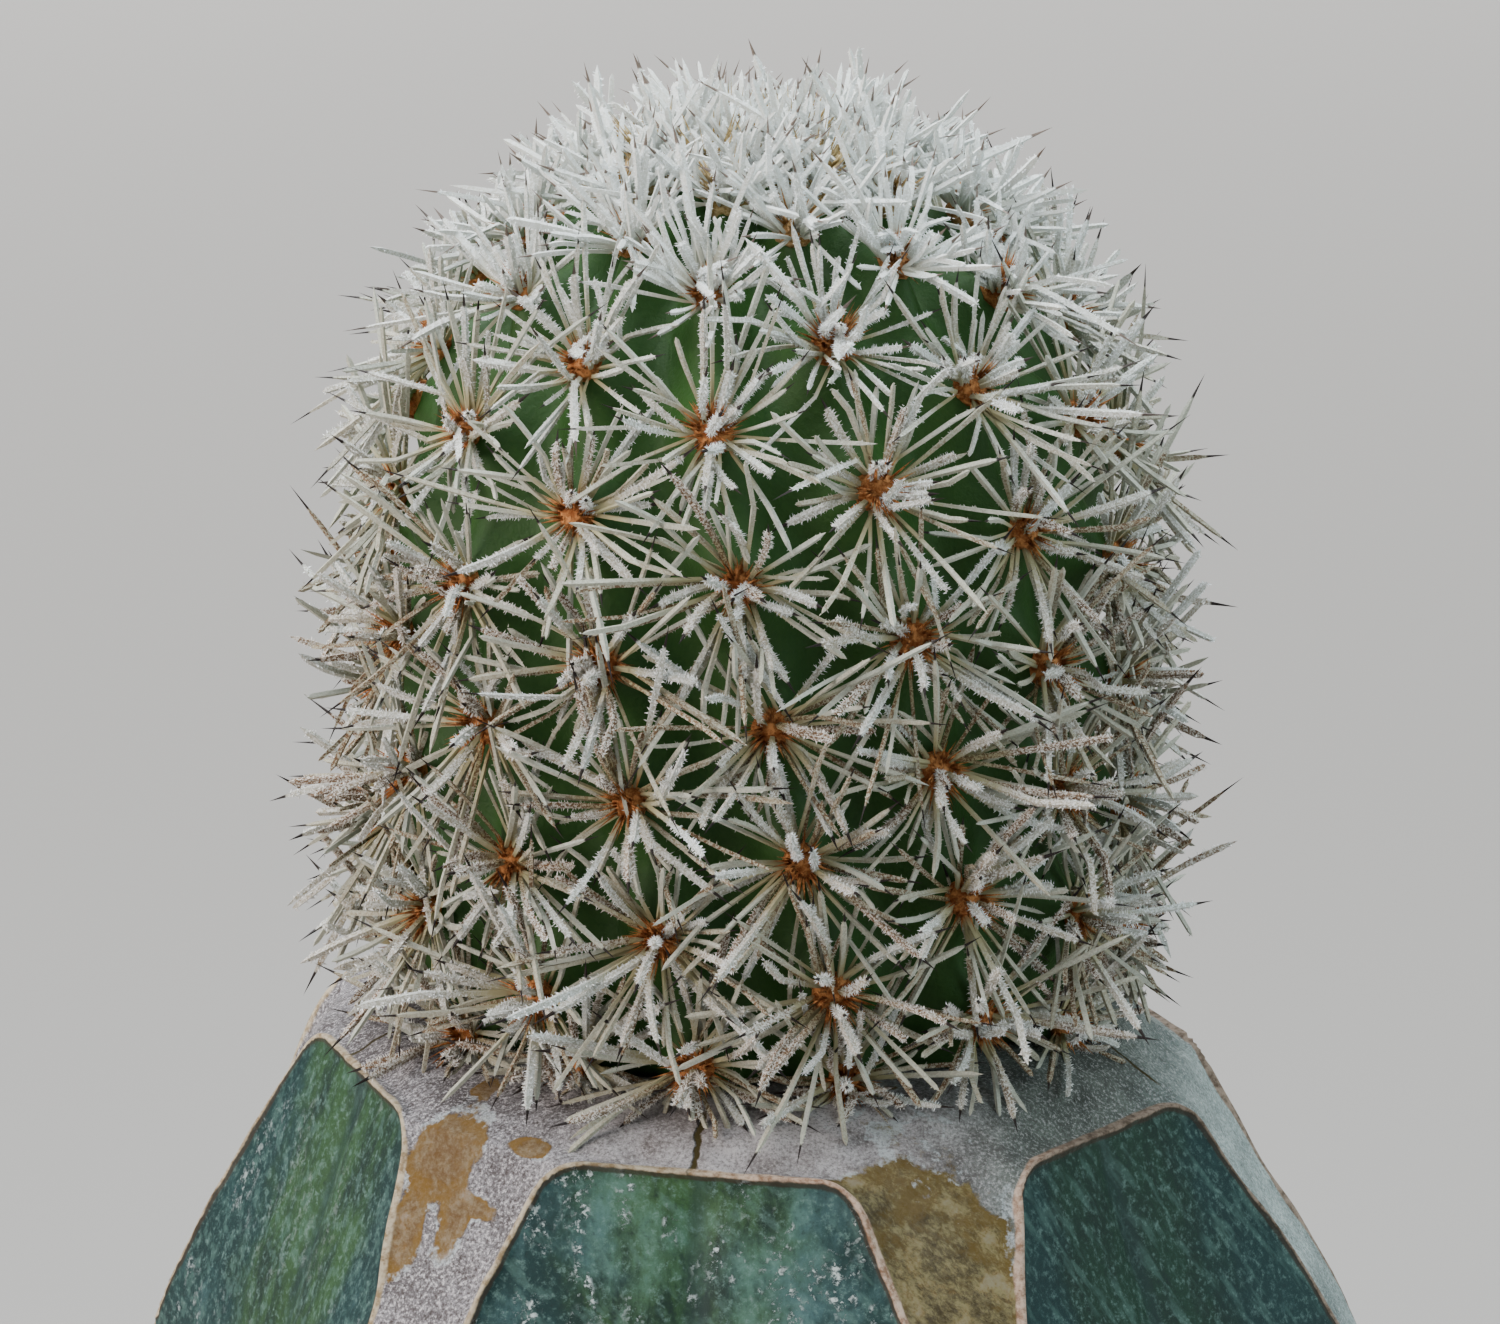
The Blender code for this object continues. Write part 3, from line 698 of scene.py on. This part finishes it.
def felt_mesh(draw):
    """One felt cushion: a low dome with short fibres standing out of it."""
    def dome(column, row):
        rise = pi * row / FELT_ROWS
        return (ring(tau * column / FELT_SIDES) * sin(rise) + UP * cos(rise) * 0.6,)

    made = wrapped(FELT_SIDES, FELT_ROWS, dome)
    bmesh.ops.scale(made, vec=(FELT_RADIUS,) * 3, verts=made.verts)
    for _ in range(FELT_FIBRES):
        turn, lift = draw.uniform(0, tau), draw.uniform(0.15, 1)
        direction = (ring(turn) + UP * lift * 1.6).normalized()
        length = FELT_FIBRE_LENGTH * draw.uniform(0.6, 1.3)
        fibre(made, direction * FELT_RADIUS * 0.75, direction, length, FELT_FIBRE_RADIUS)
    return kept_mesh("felt", made)


def upright(out, draw):
    """Stands +Z along a direction, with a random turn about it."""
    return out.to_track_quat("Z", "Y") @ Quaternion((0, 0, 1), draw.uniform(0, tau))


def stock_spine_mesh():
    """One stiff spine along +Z, thick at the root. It carries its share of the length."""
    def place(column, row):
        share = row / STOCK_SPINE_ROWS
        swollen = 1 + 0.9 * exp(-share * 14)
        radius = STOCK_SPINE_RADIUS * swollen * (1 - share) ** 0.7 if row else 0
        middle = Vector((0.5 * MM * share * share, 0, share * STOCK_SPINE_LENGTH))
        return (middle + ring(tau * column / STOCK_SPINE_SIDES) * radius, share)

    made = wrapped(STOCK_SPINE_SIDES, STOCK_SPINE_ROWS, place, "along")
    return kept_mesh("stock spine", made)


def stock_areoles():
    """Where each cushion and each spine of the rib crests sits."""
    draw = Random(STOCK_SPINE_SEED)
    cushion, spine = felt_mesh(draw), stock_spine_mesh()
    cushions, spines = [], []
    for rib in range(STOCK_RIBS):
        turn = STOCK_TURN + rib * SECTOR
        out = around(1, turn, 0)
        side = out.cross(UP)
        for depth in STOCK_AREOLE_DEPTHS:
            depth += STOCK_AREOLE_STAGGER * (rib % 2)
            root = around(outline(0, depth), turn, STOCK_TOP - depth)
            tilt = upright(out, draw)
            cushions.append((cushion, Matrix.LocRotScale(root, tilt, STOCK_CUSHION)))
            for i in range(STOCK_SPINES):
                spread = tau * (i + draw.uniform(-0.25, 0.25)) / (STOCK_SPINES - 1)
                lift = radians(STOCK_CENTRAL_LIFT if i == 0 else draw.uniform(*STOCK_SPINE_LIFTS))
                lean = side * cos(spread) + UP * sin(spread)
                tilt = upright(out * sin(lift) + lean * cos(lift), draw)
                scale = (1, 1, draw.uniform(0.75, 1.1))
                spines.append((spine, Matrix.LocRotScale(root + lean * FELT_RADIUS, tilt, scale)))
    return cushions, spines


def stock_felt():
    """Grey-brown felt."""
    wool = Finish("stock felt", 0.15)
    tufts = wool.grain(0.45, 4, 0.7)
    wool.cover(wool.mix(tufts, (96, 82, 66), (184, 172, 150)), 0.9 + tufts * 0.1)
    wool.relief(tufts, 0.1)
    return wool


def stock_spine_finish():
    """Horn colour, streaked along the spine, brown towards the point."""
    horn = Finish("stock spine", 0.45)
    along = horn.mark("along")
    streaks = horn.grain(0.5, 4)
    pale = horn.mix(streaks, (160, 136, 98), (206, 190, 156))
    brown = horn.step(along + (streaks - 0.5) * 0.3, 0.45, 0.9)
    horn.cover(horn.mix(brown, pale, (72, 46, 30)), 0.45 + streaks * 0.2)
    horn.relief(streaks, 0.05)
    return horn


stock_cushions, stock_spines = stock_areoles()
place_piece("rootstock_felt", gathered(stock_cushions), stock_felt(), "stock_skin", "rootstock")
horn = stock_spine_finish()
place_piece("rootstock_spines", gathered(stock_spines), horn, "stock_skin", "rootstock", crease=50)


# The soil
# Cactus compost: dark peat and loam with grit, filled in round the rootstock's foot and pressed
# down to below the pot's lip. Loose stones of pumice, lava and sand lie on and in it.
SOIL_TOP = 88 * MM
SOIL_MOUND = 2.2 * MM
SOIL_RELIEF = 1.1 * MM
SOIL_GRAIN = 5.5 * MM
SOIL_COLUMNS, SOIL_TOP_ROWS = 240, 34
SOIL_GAP = 0.15 * MM
STONE_COUNT, STONE_SHAPES, STONE_SEED = 520, 10, 11
STONE_SIZES = (0.7 * MM, 2.1 * MM)


def soil_height(spot):
    """Height of the pressed compost at a place: a slight mound with lumps and crumbs."""
    out = spot.to_2d().length / pot_inner_radius(SOIL_TOP)
    flat = Vector((spot.x, spot.y, 0))
    lumps = SOIL_RELIEF * noise.noise(flat / SOIL_GRAIN)
    crumbs = 0.5 * SOIL_RELIEF * noise.fractal(flat / (1.7 * MM), 0.9, 2.1, 3)
    return SOIL_TOP + SOIL_MOUND * (1 - out) + lumps + crumbs


def soil_mesh():
    """The block of compost: floor, wall, crumbly top, and the hole that the stem stands in."""
    floor = POT_FLOOR + 0.3 * MM
    hole_end = STOCK_TOP - FOOT_DEPTH - 0.3 * MM

    def place(column, row):
        turn = column / SOIL_COLUMNS * tau
        off = (turn - STOCK_TURN) % SECTOR
        stem = around(outline(min(off, SECTOR - off), BURIED_DEPTH) + SOIL_GAP, turn, 0)
        wall = around(pot_inner_radius(SOIL_TOP) - SOIL_GAP, turn, 0)
        if row == 0:
            return (UP * floor,)
        if row == 1:
            return (around(pot_inner_radius(floor) - 4 * MM, turn, floor),)
        if row == SOIL_TOP_ROWS + 3:
            return (Vector((stem.x * FOOT_SHRINK, stem.y * FOOT_SHRINK, hole_end)),)
        if row == SOIL_TOP_ROWS + 4:
            return (UP * hole_end,)
        spot = wall.lerp(stem, (row - 2) / SOIL_TOP_ROWS)
        spot.z = soil_height(spot)
        return (spot,)

    return wrapped(SOIL_COLUMNS, SOIL_TOP_ROWS + 4, place)


def compost():
    """Dark crumbly compost, matt, with pale and rusty specks."""
    soil = Finish("compost", 0.2)
    crumbs = soil.grain(1.6, 6, 0.7)
    dark = soil.mix(soil.step(crumbs, 0.35, 0.7), (42, 32, 26), (104, 80, 62))
    specks = soil.step(soil.grain(0.7, 2), 0.66, 0.72)
    soil.cover(soil.mix(specks, dark, (170, 156, 136)), 0.9 + crumbs * 0.1)
    soil.relief(crumbs, 0.9)
    return soil


def stone_mesh(number):
    """A rounded broken stone of about unit radius. Every other one is a plainer chip."""
    made = bmesh.new()
    bmesh.ops.create_icosphere(made, subdivisions=1 + number % 2, radius=1)
    for corner in made.verts:
        lumps = noise.noise(corner.co * 1.1 + Vector((number * 7.3, 0, 0)))
        corner.co = corner.co * (1 + 0.45 * lumps)
    bmesh.ops.scale(made, vec=(1, 0.85, 0.7), verts=made.verts)
    return kept_mesh("stone", made)


def stones():
    """Stones over the compost, half sunk in it and clear of the stem and the pot."""
    draw = Random(STONE_SEED)
    shapes = [stone_mesh(i) for i in range(STONE_SHAPES)]
    placings = []
    for _ in range(STONE_COUNT):
        size = blend(*STONE_SIZES, draw.random() ** 2.2)
        turn = draw.uniform(0, tau)
        off_crest = (turn - STOCK_TURN) % SECTOR % HALF_SECTOR
        near = outline(off_crest, BURIED_DEPTH) + 1.3 * size
        far = pot_inner_radius(SOIL_TOP) - 1.5 * size
        spot = around(sqrt(draw.uniform(near * near, far * far)), turn, 0)
        spot.z = soil_height(spot) + size * draw.uniform(-0.1, 0.35)
        axis = Vector([draw.gauss(0, 1) for _ in range(3)])
        fitted = Matrix.LocRotScale(spot, Quaternion(axis, draw.uniform(0, 6)), (size,) * 3)
        placings.append((draw.choice(shapes), fitted, draw.random()))
    return gathered(placings, "kind")


def stone_finish():
    """Pumice, sand and lava in one mix, told apart by each stone's own number."""
    stone = Finish("grit", 0.3)
    kind = stone.mark("kind")
    grain = stone.grain(0.6, 5, 0.7)
    pumice = stone.mix(grain, (150, 142, 128), (216, 208, 194))
    lava = stone.mix(grain, (58, 36, 30), (120, 72, 56))
    sand = stone.mix(grain, (138, 112, 82), (190, 164, 128))
    some = stone.mix(stone.step(kind, 0.44, 0.46), pumice, sand)
    stone.cover(stone.mix(stone.step(kind, 0.71, 0.73), some, lava), 0.75 + grain * 0.2)
    stone.relief(grain, 0.3)
    return stone


place_piece("compost", soil_mesh(), compost(), "potting_soil", "soil")
place_piece("grit_stones", stones(), stone_finish(), "potting_soil", "soil")


# The scion
# The short column grafted on top, green and fleshy, with fifteen low twisting ribs. Each rib is
# a row of swellings, and each swelling carries an areole.
scion_low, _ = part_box("scion")
SCION_BASE = scion_low.z
SCION_HEIGHT = 42 * MM
SCION_RADIUS = 17.0 * MM
SCION_BASE_RADIUS = 15.4 * MM
BULGE_HEIGHT = 7 * MM
DOME_HEIGHT = 18 * MM
SCION_RIBS = 15
SCION_TURN = radians(1.2)
SCION_TWIST = radians(0.71) / MM
TWIST_LEVEL = 20 * MM
RIB_RISE = 0.7 * MM
SWELLING_RISE = 0.6 * MM
RIB_FADE_RADIUS = 10 * MM
RIB_COLUMNS = 12
SCION_ROWS = 92
AREOLE_SPACING = 6.6 * MM
AREOLE_LOWEST = 1.0 * MM
AREOLE_STAGGER = 9 / SCION_RIBS
AREOLE_START = 0.712
DOME_START = SCION_HEIGHT - DOME_HEIGHT
DOME_MEAN_RADIUS = (SCION_RADIUS + DOME_HEIGHT) / 2
SCION_ARC = DOME_START + DOME_MEAN_RADIUS * pi / 2


def dome_angle(reach):
    """Angle up the round top reached by going up the skin by a length from the base."""
    return min(max((reach - DOME_START) / DOME_MEAN_RADIUS, 0), pi / 2)


def height_at(reach):
    return min(reach, DOME_START) + DOME_HEIGHT * sin(dome_angle(reach))


def scion_radius(reach):
    """Mean radius of the column, with its drawn-in base and its round top."""
    drawn_in = max(1 - reach / BULGE_HEIGHT, 0)
    low = blend(SCION_RADIUS, SCION_BASE_RADIUS, drawn_in * drawn_in)
    return low * cos(dome_angle(reach))


def skin_normal(turn, reach):
    """Which way the column's skin faces, leaving its ribs out."""
    angle = dome_angle(reach)
    across = DOME_HEIGHT * cos(angle)
    return around(across, turn, SCION_RADIUS * sin(angle)).normalized()


def rib_turn(rib, reach):
    """Where a rib stands round the column, with its slight twist."""
    return SCION_TURN + tau * rib / SCION_RIBS + SCION_TWIST * (TWIST_LEVEL - height_at(reach))


def first_areole(rib):
    """How far up the skin a rib's lowest areole sits. Ribs are staggered one against the next."""
    return AREOLE_LOWEST + (AREOLE_START + AREOLE_STAGGER * rib) % 1 * AREOLE_SPACING


def scion_point(rib, across, reach):
    """A point of the column's skin. across runs from -0.5 to 0.5 over one rib."""
    crest = cos(tau * across)
    phase = (reach - first_areole(rib)) / AREOLE_SPACING
    swell = (1 + crest) / 2 * (1 + cos(tau * phase)) / 2
    fade = ease(scion_radius(reach) / RIB_FADE_RADIUS)
    rise = (RIB_RISE * crest + SWELLING_RISE * (2 * swell - 1)) * fade
    turn = rib_turn(rib + across, reach)
    spot = around(scion_radius(reach), turn, SCION_BASE + height_at(reach))
    return spot + skin_normal(turn, reach) * rise


def scion_skin_mesh():
    columns = SCION_RIBS * RIB_COLUMNS

    def place(column, row):
        if row == 0:
            return (UP * SCION_BASE,)
        if row == SCION_ROWS:
            return (UP * (SCION_BASE + SCION_HEIGHT),)
        rib = (column + RIB_COLUMNS // 2) // RIB_COLUMNS
        reach = SCION_ARC * (row - 1) / (SCION_ROWS - 1)
        spot = scion_point(rib, column / RIB_COLUMNS - rib, reach)
        if row == 1:
            spot.z = SCION_BASE
        return (spot,)

    return wrapped(columns, SCION_ROWS, place)


def scion_skin():
    """Deep green living skin with a fine wrinkled grain and a soft wax shine."""
    skin = Finish("scion skin", 0.4)
    clouds = skin.grain(5, 3)
    fine = skin.grain(0.25, 3, 0.6)
    green = skin.mix(clouds, (16, 58, 12), (42, 90, 26))
    skin.cover(skin.mix(fine * 0.3, green, (84, 118, 58)), 0.5 + fine * 0.2)
    skin.relief(fine, 0.05)
    return skin


place_piece("scion_skin", scion_skin_mesh(), scion_skin(), "scion_skin", "scion")


# The areoles
# Small cushions of orange-brown felt, one on each swelling, which the spines grow out of. The
# youngest, at the crown, are woolly and run together.
FELT_SEED, FELT_SHAPES = 5, 6
# how far up the skin the woolly crown begins, and how soon it is full, in mm
WOOLLY = (42, 6)
GRAFT_REACH, AREOLE_HIGHEST = 0.6 * MM, 50.5 * MM


def areole_reaches(rib):
    """How far up the skin each areole of a rib sits, with one more at the graft where the lowest
    one sits high."""
    first = first_areole(rib)
    extra = [GRAFT_REACH] if first > GRAFT_REACH + AREOLE_SPACING / 2 else []
    count = ceil((AREOLE_HIGHEST - first) / AREOLE_SPACING)
    return extra + [first + i * AREOLE_SPACING for i in range(count)]


def grown(reach, start, span):
    """From 0 at a start up the skin to 1 a span further on, both in mm."""
    return ease((reach - start * MM) / (span * MM))


def felt_cushions():
    draw = Random(FELT_SEED)
    shapes = [felt_mesh(draw) for _ in range(FELT_SHAPES)]
    placings = []
    for rib in range(SCION_RIBS):
        for reach in areole_reaches(rib):
            crown = grown(reach, *WOOLLY)
            size = blend(1.45, 1.8, draw.random()) * blend(1, 1.3, crown)
            tilt = upright(skin_normal(rib_turn(rib, reach), reach), draw)
            scale = (size, size, size * draw.uniform(0.9, 1.3) * blend(1, 1.5, crown))
            fitted = Matrix.LocRotScale(scion_point(rib, 0, reach), tilt, scale)
            placings.append((draw.choice(shapes), fitted, reach / MM))
    return gathered(placings, "reach")


def felt():
    """Orange-brown felt, paler and more olive in the young areoles of the crown."""
    wool = Finish("areole felt", 0.15)
    tufts = wool.step(wool.grain(0.45, 4, 0.7), 0.34, 0.66)
    old = wool.mix(tufts, (128, 70, 34), (206, 142, 88))
    young = wool.mix(tufts, (142, 116, 62), (206, 186, 140))
    crown = wool.step(wool.mark("reach"), 38, 47)
    wool.cover(wool.mix(crown, old, young), 0.9 + tufts * 0.1)
    wool.relief(tufts, 0.1)
    return wool


place_piece("areole_felt", felt_cushions(), felt(), "scion_skin", "scion")


# The spines
# Each areole holds thirty thin spines that lie low, a dozen stouter ones that stand out further
# and four central ones, 2 to 9 mm long. They are straw-coloured at the root and furred with
# white scurf further out, and many end in a thin dark point.
SPINE_LENGTH = 6.2 * MM
# how many, their lifts in degrees, lengths, thicknesses, and how far out in the felt they root
SPINE_KINDS = (
    (30, (3, 34), (0.66, 1.4), (0.6, 0.84), (0.6, 1.3)),
    (12, (8, 52), (0.62, 1.4), (0.84, 1.16), (0.2, 1.2)),
    (4, (45, 88), (0.42, 0.88), (1.0, 1.2), (0, 0.7)),
)
SPREAD_JITTER, ASKEW = 0.7, 0.5
# stretches of the skin: how far up each begins, and how long it is, in mm
UPPER, CROWNING, YOUNG = (14, 14), (22, 18), (30, 14)
UPSTANDING, PALING, WHITE = (22, 22), (22, 20), (30, 12)
FOOT = (0, 7)
UPPER_SHORTER, LOW_LONGER, FOOT_SHORTER, LOPSIDED = 0.44, 0.2, 0.5, 0.2
YOUNG_LIFT = 20
RISING = 0.7
CROWN_PALENESS = 0.7
SPINE_SEED = 7
SHAPES_EACH = 20
KINKED_SHARE, YOUNG_KINKED_SHARE = 0.2, 0.55
POINTED_SHARE, BLUNT_SHARE = 0.45, 0.35
BLUNT_END, WHITE_END, WHITE_LEVEL = 0.84, 0.9, 0.84
CAMERA_LIFT = radians(15)
VIEWER = Vector((0, -cos(CAMERA_LIFT), sin(CAMERA_LIFT)))
# how far an areole faces the viewer, a spine's sides, its tufts of scurf and their width
SCURF_LEVELS = ((0.5, 4, 108, 0.03 * MM), (-0.15, 4, 44, 0.04 * MM), (-2, 3, 8, 0.07 * MM))
LOW_TUFT_SHARE = 0.18
TUFT_LENGTHS = (0.12 * MM, 0.22 * MM)
TUFT_START, TUFT_END = 0.22, 0.85
LEDGE_CLEARANCE = 0.35 * MM
# share of the length, radius in mm
SPINE_SECTION = (
    (0.0, 0.17), (0.1, 0.15), (0.3, 0.16), (0.5, 0.195), (0.66, 0.21), (0.8, 0.19),
    (0.85, 0.1), (1.0, 0.04),
)


def read_off(table, share):
    """Reads a value off a table of pairs, straight between them."""
    for (x0, y0), (x1, y1) in zip(table, table[1:]):
        if share <= x1:
            return blend(y0, y1, (share - x0) / (x1 - x0))
    return table[-1][1]


def spine_mesh(draw, sides, tufts, width, kinked_share):
    """One spine along +Z, bent or kinked. It carries its share of the length, and 1 for scurf on
    the tufts that stand out of it."""
    lean = draw.uniform(-0.1, 0.28) * SPINE_LENGTH
    kink_at = draw.uniform(0.3, 0.7)
    kink = (draw.uniform(0.2, 0.9) if draw.random() < kinked_share else 0.05) * SPINE_LENGTH
    fate = draw.random()
    end = 1 if fate < POINTED_SHARE else WHITE_END if fate < 1 - BLUNT_SHARE else BLUNT_END
    top_level = 1 if end == 1 else WHITE_LEVEL
    shares = sorted([share for share, _ in SPINE_SECTION if share < end] + [kink_at, end])

    def middle(share):
        aside = lean * share * share + kink * max(share - kink_at, 0)
        return Vector((aside, 0, share * SPINE_LENGTH))

    def place(column, row):
        share = shares[row]
        closed = row in (0, len(shares) - 1)
        radius = 0 if closed else read_off(SPINE_SECTION, share) * MM
        return (middle(share) + ring(tau * column / sides) * radius, min(share, top_level), 0)

    made = wrapped(sides, len(shares) - 1, place, "along", "scurf")
    along, scurf = (made.verts.layers.float[name] for name in ("along", "scurf"))
    for _ in range(tufts):
        share = blend(TUFT_START, min(end, TUFT_END), draw.random() ** 0.85)
        aside = ring(draw.uniform(0, tau))
        direction = (aside + UP * draw.uniform(-0.3, 0.5)).normalized()
        length = draw.uniform(*TUFT_LENGTHS) * (0.5 + 0.5 * ease((share - 0.15) / 0.3))
        root = middle(share) + aside * read_off(SPINE_SECTION, share) * MM * 0.85
        for corner in fibre(made, root, direction, length, width):
            corner[along] = min(share, top_level)
            corner[scurf] = 1
    return kept_mesh("spine", made)


def star(draw, reach):
    """One areole's spines: which kind each is, its lift, turn, length, thickness and root."""
    upper, crowning, young = (grown(reach, *part) for part in (UPPER, CROWNING, YOUNG))
    bare_side = draw.uniform(0, tau)
    spines = []
    for kind, (count, lifts, lengths, widths, roots) in enumerate(SPINE_KINDS):
        start = draw.uniform(0, tau)
        for i in range(count):
            lift = radians(blend(*lifts, draw.random()) + YOUNG_LIFT * young * draw.random())
            turn = start + tau * (i + draw.uniform(-SPREAD_JITTER, SPREAD_JITTER)) / count
            longer = LOW_LONGER * (1 - crowning) if kind == 0 else 0
            length = blend(*lengths, draw.random())
            length *= 1 + upper * (longer - UPPER_SHORTER * sin(lift))
            length *= 1 - LOPSIDED * cos(turn - bare_side)
            shape_kind = 2 if kind and draw.random() < young else min(kind, 1)
            width, root = blend(*widths, draw.random()), blend(*roots, draw.random())
            spines.append((shape_kind, lift, turn, length, width, root))
    return spines


def ledge_height(spot):
    """Height of the rootstock's cork under a place."""
    out = spot.to_2d().length
    beyond = max(out - LEDGE_RADIUS, 0)
    slope = (BORDER_DEPTH - LEDGE_DROP) / (BORDER_REACH - LEDGE_RADIUS)
    ledge = STOCK_TOP - LEDGE_DROP * ease(out / LEDGE_RADIUS)
    return ledge - beyond * slope - CUT_SLOPE * spot.x


def spine_shapes(draw):
    """The shapes of each scurf level: low spines, stouter ones and the kinked ones of the crown."""
    levels = []
    for facing, sides, tufts, width in SCURF_LEVELS:
        kinds = ((round(tufts * LOW_TUFT_SHARE), KINKED_SHARE), (tufts, KINKED_SHARE))
        shapes = []
        for count, kinked in (*kinds, (tufts, YOUNG_KINKED_SHARE)):
            shapes.append([spine_mesh(draw, sides, count, width, kinked) for _ in range(SHAPES_EACH)])
        levels.append((facing, shapes))
    return levels


def scion_spines():
    """Every spine of the column: its rib, shape and matrix, how dirty it is, and its painted shade,
    from 1 for the low ones, painted dimmer as shade, to -1 for the white ones of the crown."""
    draw = Random(SPINE_SEED)
    levels = spine_shapes(draw)
    placings = []
    for rib in range(SCION_RIBS):
        for reach in areole_reaches(rib):
            turn = rib_turn(rib, reach)
            out = skin_normal(turn, reach)
            side = around(1, turn + pi / 2, 0)
            up = side.cross(out)
            rising = UP * (RISING * grown(reach, *UPSTANDING))
            shapes = next(shapes for facing, shapes in levels if out.dot(VIEWER) > facing)
            for kind, lift, spread, length, thickness, off_centre in star(draw, reach):
                lean = side * cos(spread) + up * sin(spread)
                root = scion_point(rib, 0, reach) + lean * FELT_RADIUS * off_centre
                spread += draw.gauss(0, ASKEW)
                lean = side * cos(spread) + up * sin(spread)
                direction = (out + rising) * sin(lift) + lean * cos(lift)
                direction.normalize()
                length *= 1 - FOOT_SHORTER * max(-lean.z, 0) * (1 - grown(reach, *FOOT))
                reached = direction * SPINE_LENGTH * length
                lack = ledge_height(root + reached) + LEDGE_CLEARANCE - (root + reached).z
                if lack > 0:
                    direction = (reached + UP * lack).normalized()
                tilt = upright(direction, draw)
                shape = draw.choice(shapes[kind])
                fitted = Matrix.LocRotScale(root, tilt, (thickness, thickness, length))
                dirt = draw.random() * (1 - CROWN_PALENESS * grown(reach, *PALING))
                # painted shade: 1 dims the low spines; towards the crown the mark falls to -1, which
                # whitens the young spines
                painted_shade_and_whiteness = blend(float(kind == 0), -1, grown(reach, *WHITE))
                placings.append((rib, shape, fitted, dirt, painted_shade_and_whiteness))
    return placings


def spine_finish():
    """Straw-coloured spine under white scurf, brown-flecked where that is thin, dark at the point,
    with painted shade on the low spines.
    """
    spine = Finish("spine", 0.3)
    marks = ("along", "dirt", "scurf", "painted_shade_and_whiteness")
    along, dirt, scurf, painted_shade_and_whiteness = (spine.mark(name) for name in marks)
    flecks = spine.grain(0.12, 3, 0.8)
    blots = spine.grain(0.9, 3) - 0.5
    horn = spine.mix(spine.step(along, 0.02, 0.13), (186, 122, 70), (168, 162, 126))
    dull = spine.mix(dirt, (172, 176, 166), (150, 136, 108))
    old_core = spine.mix(spine.step(along, 0.18, 0.5), horn, dull)
    core = spine.mix(painted_shade_and_whiteness * -0.75, old_core, (222, 226, 220))
    white = spine.mix(scurf, (232, 237, 240), (248, 252, 254))
    clean = spine.mix(dirt * 0.6, white, (216, 206, 194))
    # painted shade: the low spines are painted a dimmer greenish grey
    scurf_with_painted_shade = spine.mix(painted_shade_and_whiteness * 0.75, clean, (178, 180, 158))
    dust = spine.step(along + blots * 0.4, 0.16, 0.52)
    dusted = spine.mix((spine.step(flecks, 0.42, 0.58) * 0.75 + scurf).least(1) * dust, core, scurf_with_painted_shade)
    bare = spine.step(flecks + scurf * 0.2, 0.56, 0.46) * spine.step(dirt + blots * 0.6, 0.62, 0.85)
    rusty = spine.mix(bare * 0.85, dusted, (96, 64, 38))
    dark = spine.mix(painted_shade_and_whiteness * -0.6, (28, 18, 16), (136, 120, 108))
    point = spine.step(along, 0.85, 0.87)
    spine.cover(spine.mix(point, rusty, dark), 0.85 - point * 0.3)
    spine.relief(flecks, 0.05)
    return spine


spine_look = spine_finish()
spine_places = scion_spines()
for first_rib in range(0, SCION_RIBS, 2):
    group = [placing[1:] for placing in spine_places if placing[0] // 2 * 2 == first_rib]
    made = gathered(group, "dirt", "painted_shade_and_whiteness")
    name = f"spines_{first_rib // 2 + 1}"
    place_piece(name, made, spine_look, "scion_skin", "scion", crease=30)


# The studio
# A plain pale cove that curves up all round. A small soft light hangs close over the crown, a
# warm one shines from the left and a cooler one from the right, and one lights the backdrop.
COVE_RADIUS, COVE_BEND, COVE_HEIGHT = 3.2, 1.2, 3.5
COVE_STEPS = 96
CAMERA_REACH = 0.3
CAMERA_LENS = 144
PLANT = Vector((-0.35 * MM, 0, 177.5 * MM))
BACKDROP = Vector((0, 1.3, 0))
# name, place, width, watts, colour, and what it shines at
LIGHTS = (
    ("overhead", (-0.05, 0.04, 0.45), 0.32, 2.6, (0.9, 0.96, 1.0), PLANT),
    ("left", (-1.9, -0.95, 0.77), 1.3, 59, (1.0, 0.88, 0.8), PLANT),
    ("right", (1.8, -0.82, 0.87), 1.5, 24, (0.8, 0.98, 1.0), PLANT),
    ("backdrop", (-0.3, 2.4, 1.5), 1.4, 68, (1.0, 0.985, 0.97), BACKDROP),
)
ROOM_COLOUR, ROOM_LIGHT = (0.9, 0.95, 1.0, 1), 0.48


def cove():
    section = [(0.0, 0.0), (COVE_RADIUS, 0.0)]
    section += arc(COVE_RADIUS, COVE_BEND, COVE_BEND, -85, 0, 16)
    section += [(COVE_RADIUS + COVE_BEND, COVE_HEIGHT)]
    made = turned(section, COVE_STEPS, closed=False)
    bmesh.ops.remove_doubles(made, verts=made.verts, dist=MM)
    mesh = kept_mesh("cove", made)
    mesh.shade_smooth()
    paper = Finish("cove paper", 0.5)
    paper.cover(paint(176, 175, 173), 0.9)
    mesh.materials.append(paper.material)
    return mesh


def stand(name, thing, place, back):
    """Stands a light or the camera at a place. It looks away from back."""
    held = add_object(name, thing)
    held.location = place
    held.rotation_mode = "QUATERNION"
    held.rotation_quaternion = back.to_track_quat("Z", "Y")
    return held


add_object("cove", cove())
for name, place, width, watts, colour, aim in LIGHTS:
    lamp = bpy.data.lights.new(name, "AREA")
    lamp.size = width
    lamp.energy = watts
    lamp.color = colour
    stand(name, lamp, place, Vector(place) - aim)
room = bpy.data.worlds.new("room")
room.use_nodes = True
room.node_tree.nodes["Background"].inputs["Color"].default_value = ROOM_COLOUR
room.node_tree.nodes["Background"].inputs["Strength"].default_value = ROOM_LIGHT
bpy.context.scene.world = room

lens = bpy.data.cameras.new("camera")
lens.lens = CAMERA_LENS
lens.clip_start = 10 * MM
bpy.context.scene.camera = stand("camera", lens, PLANT + VIEWER * CAMERA_REACH, VIEWER)
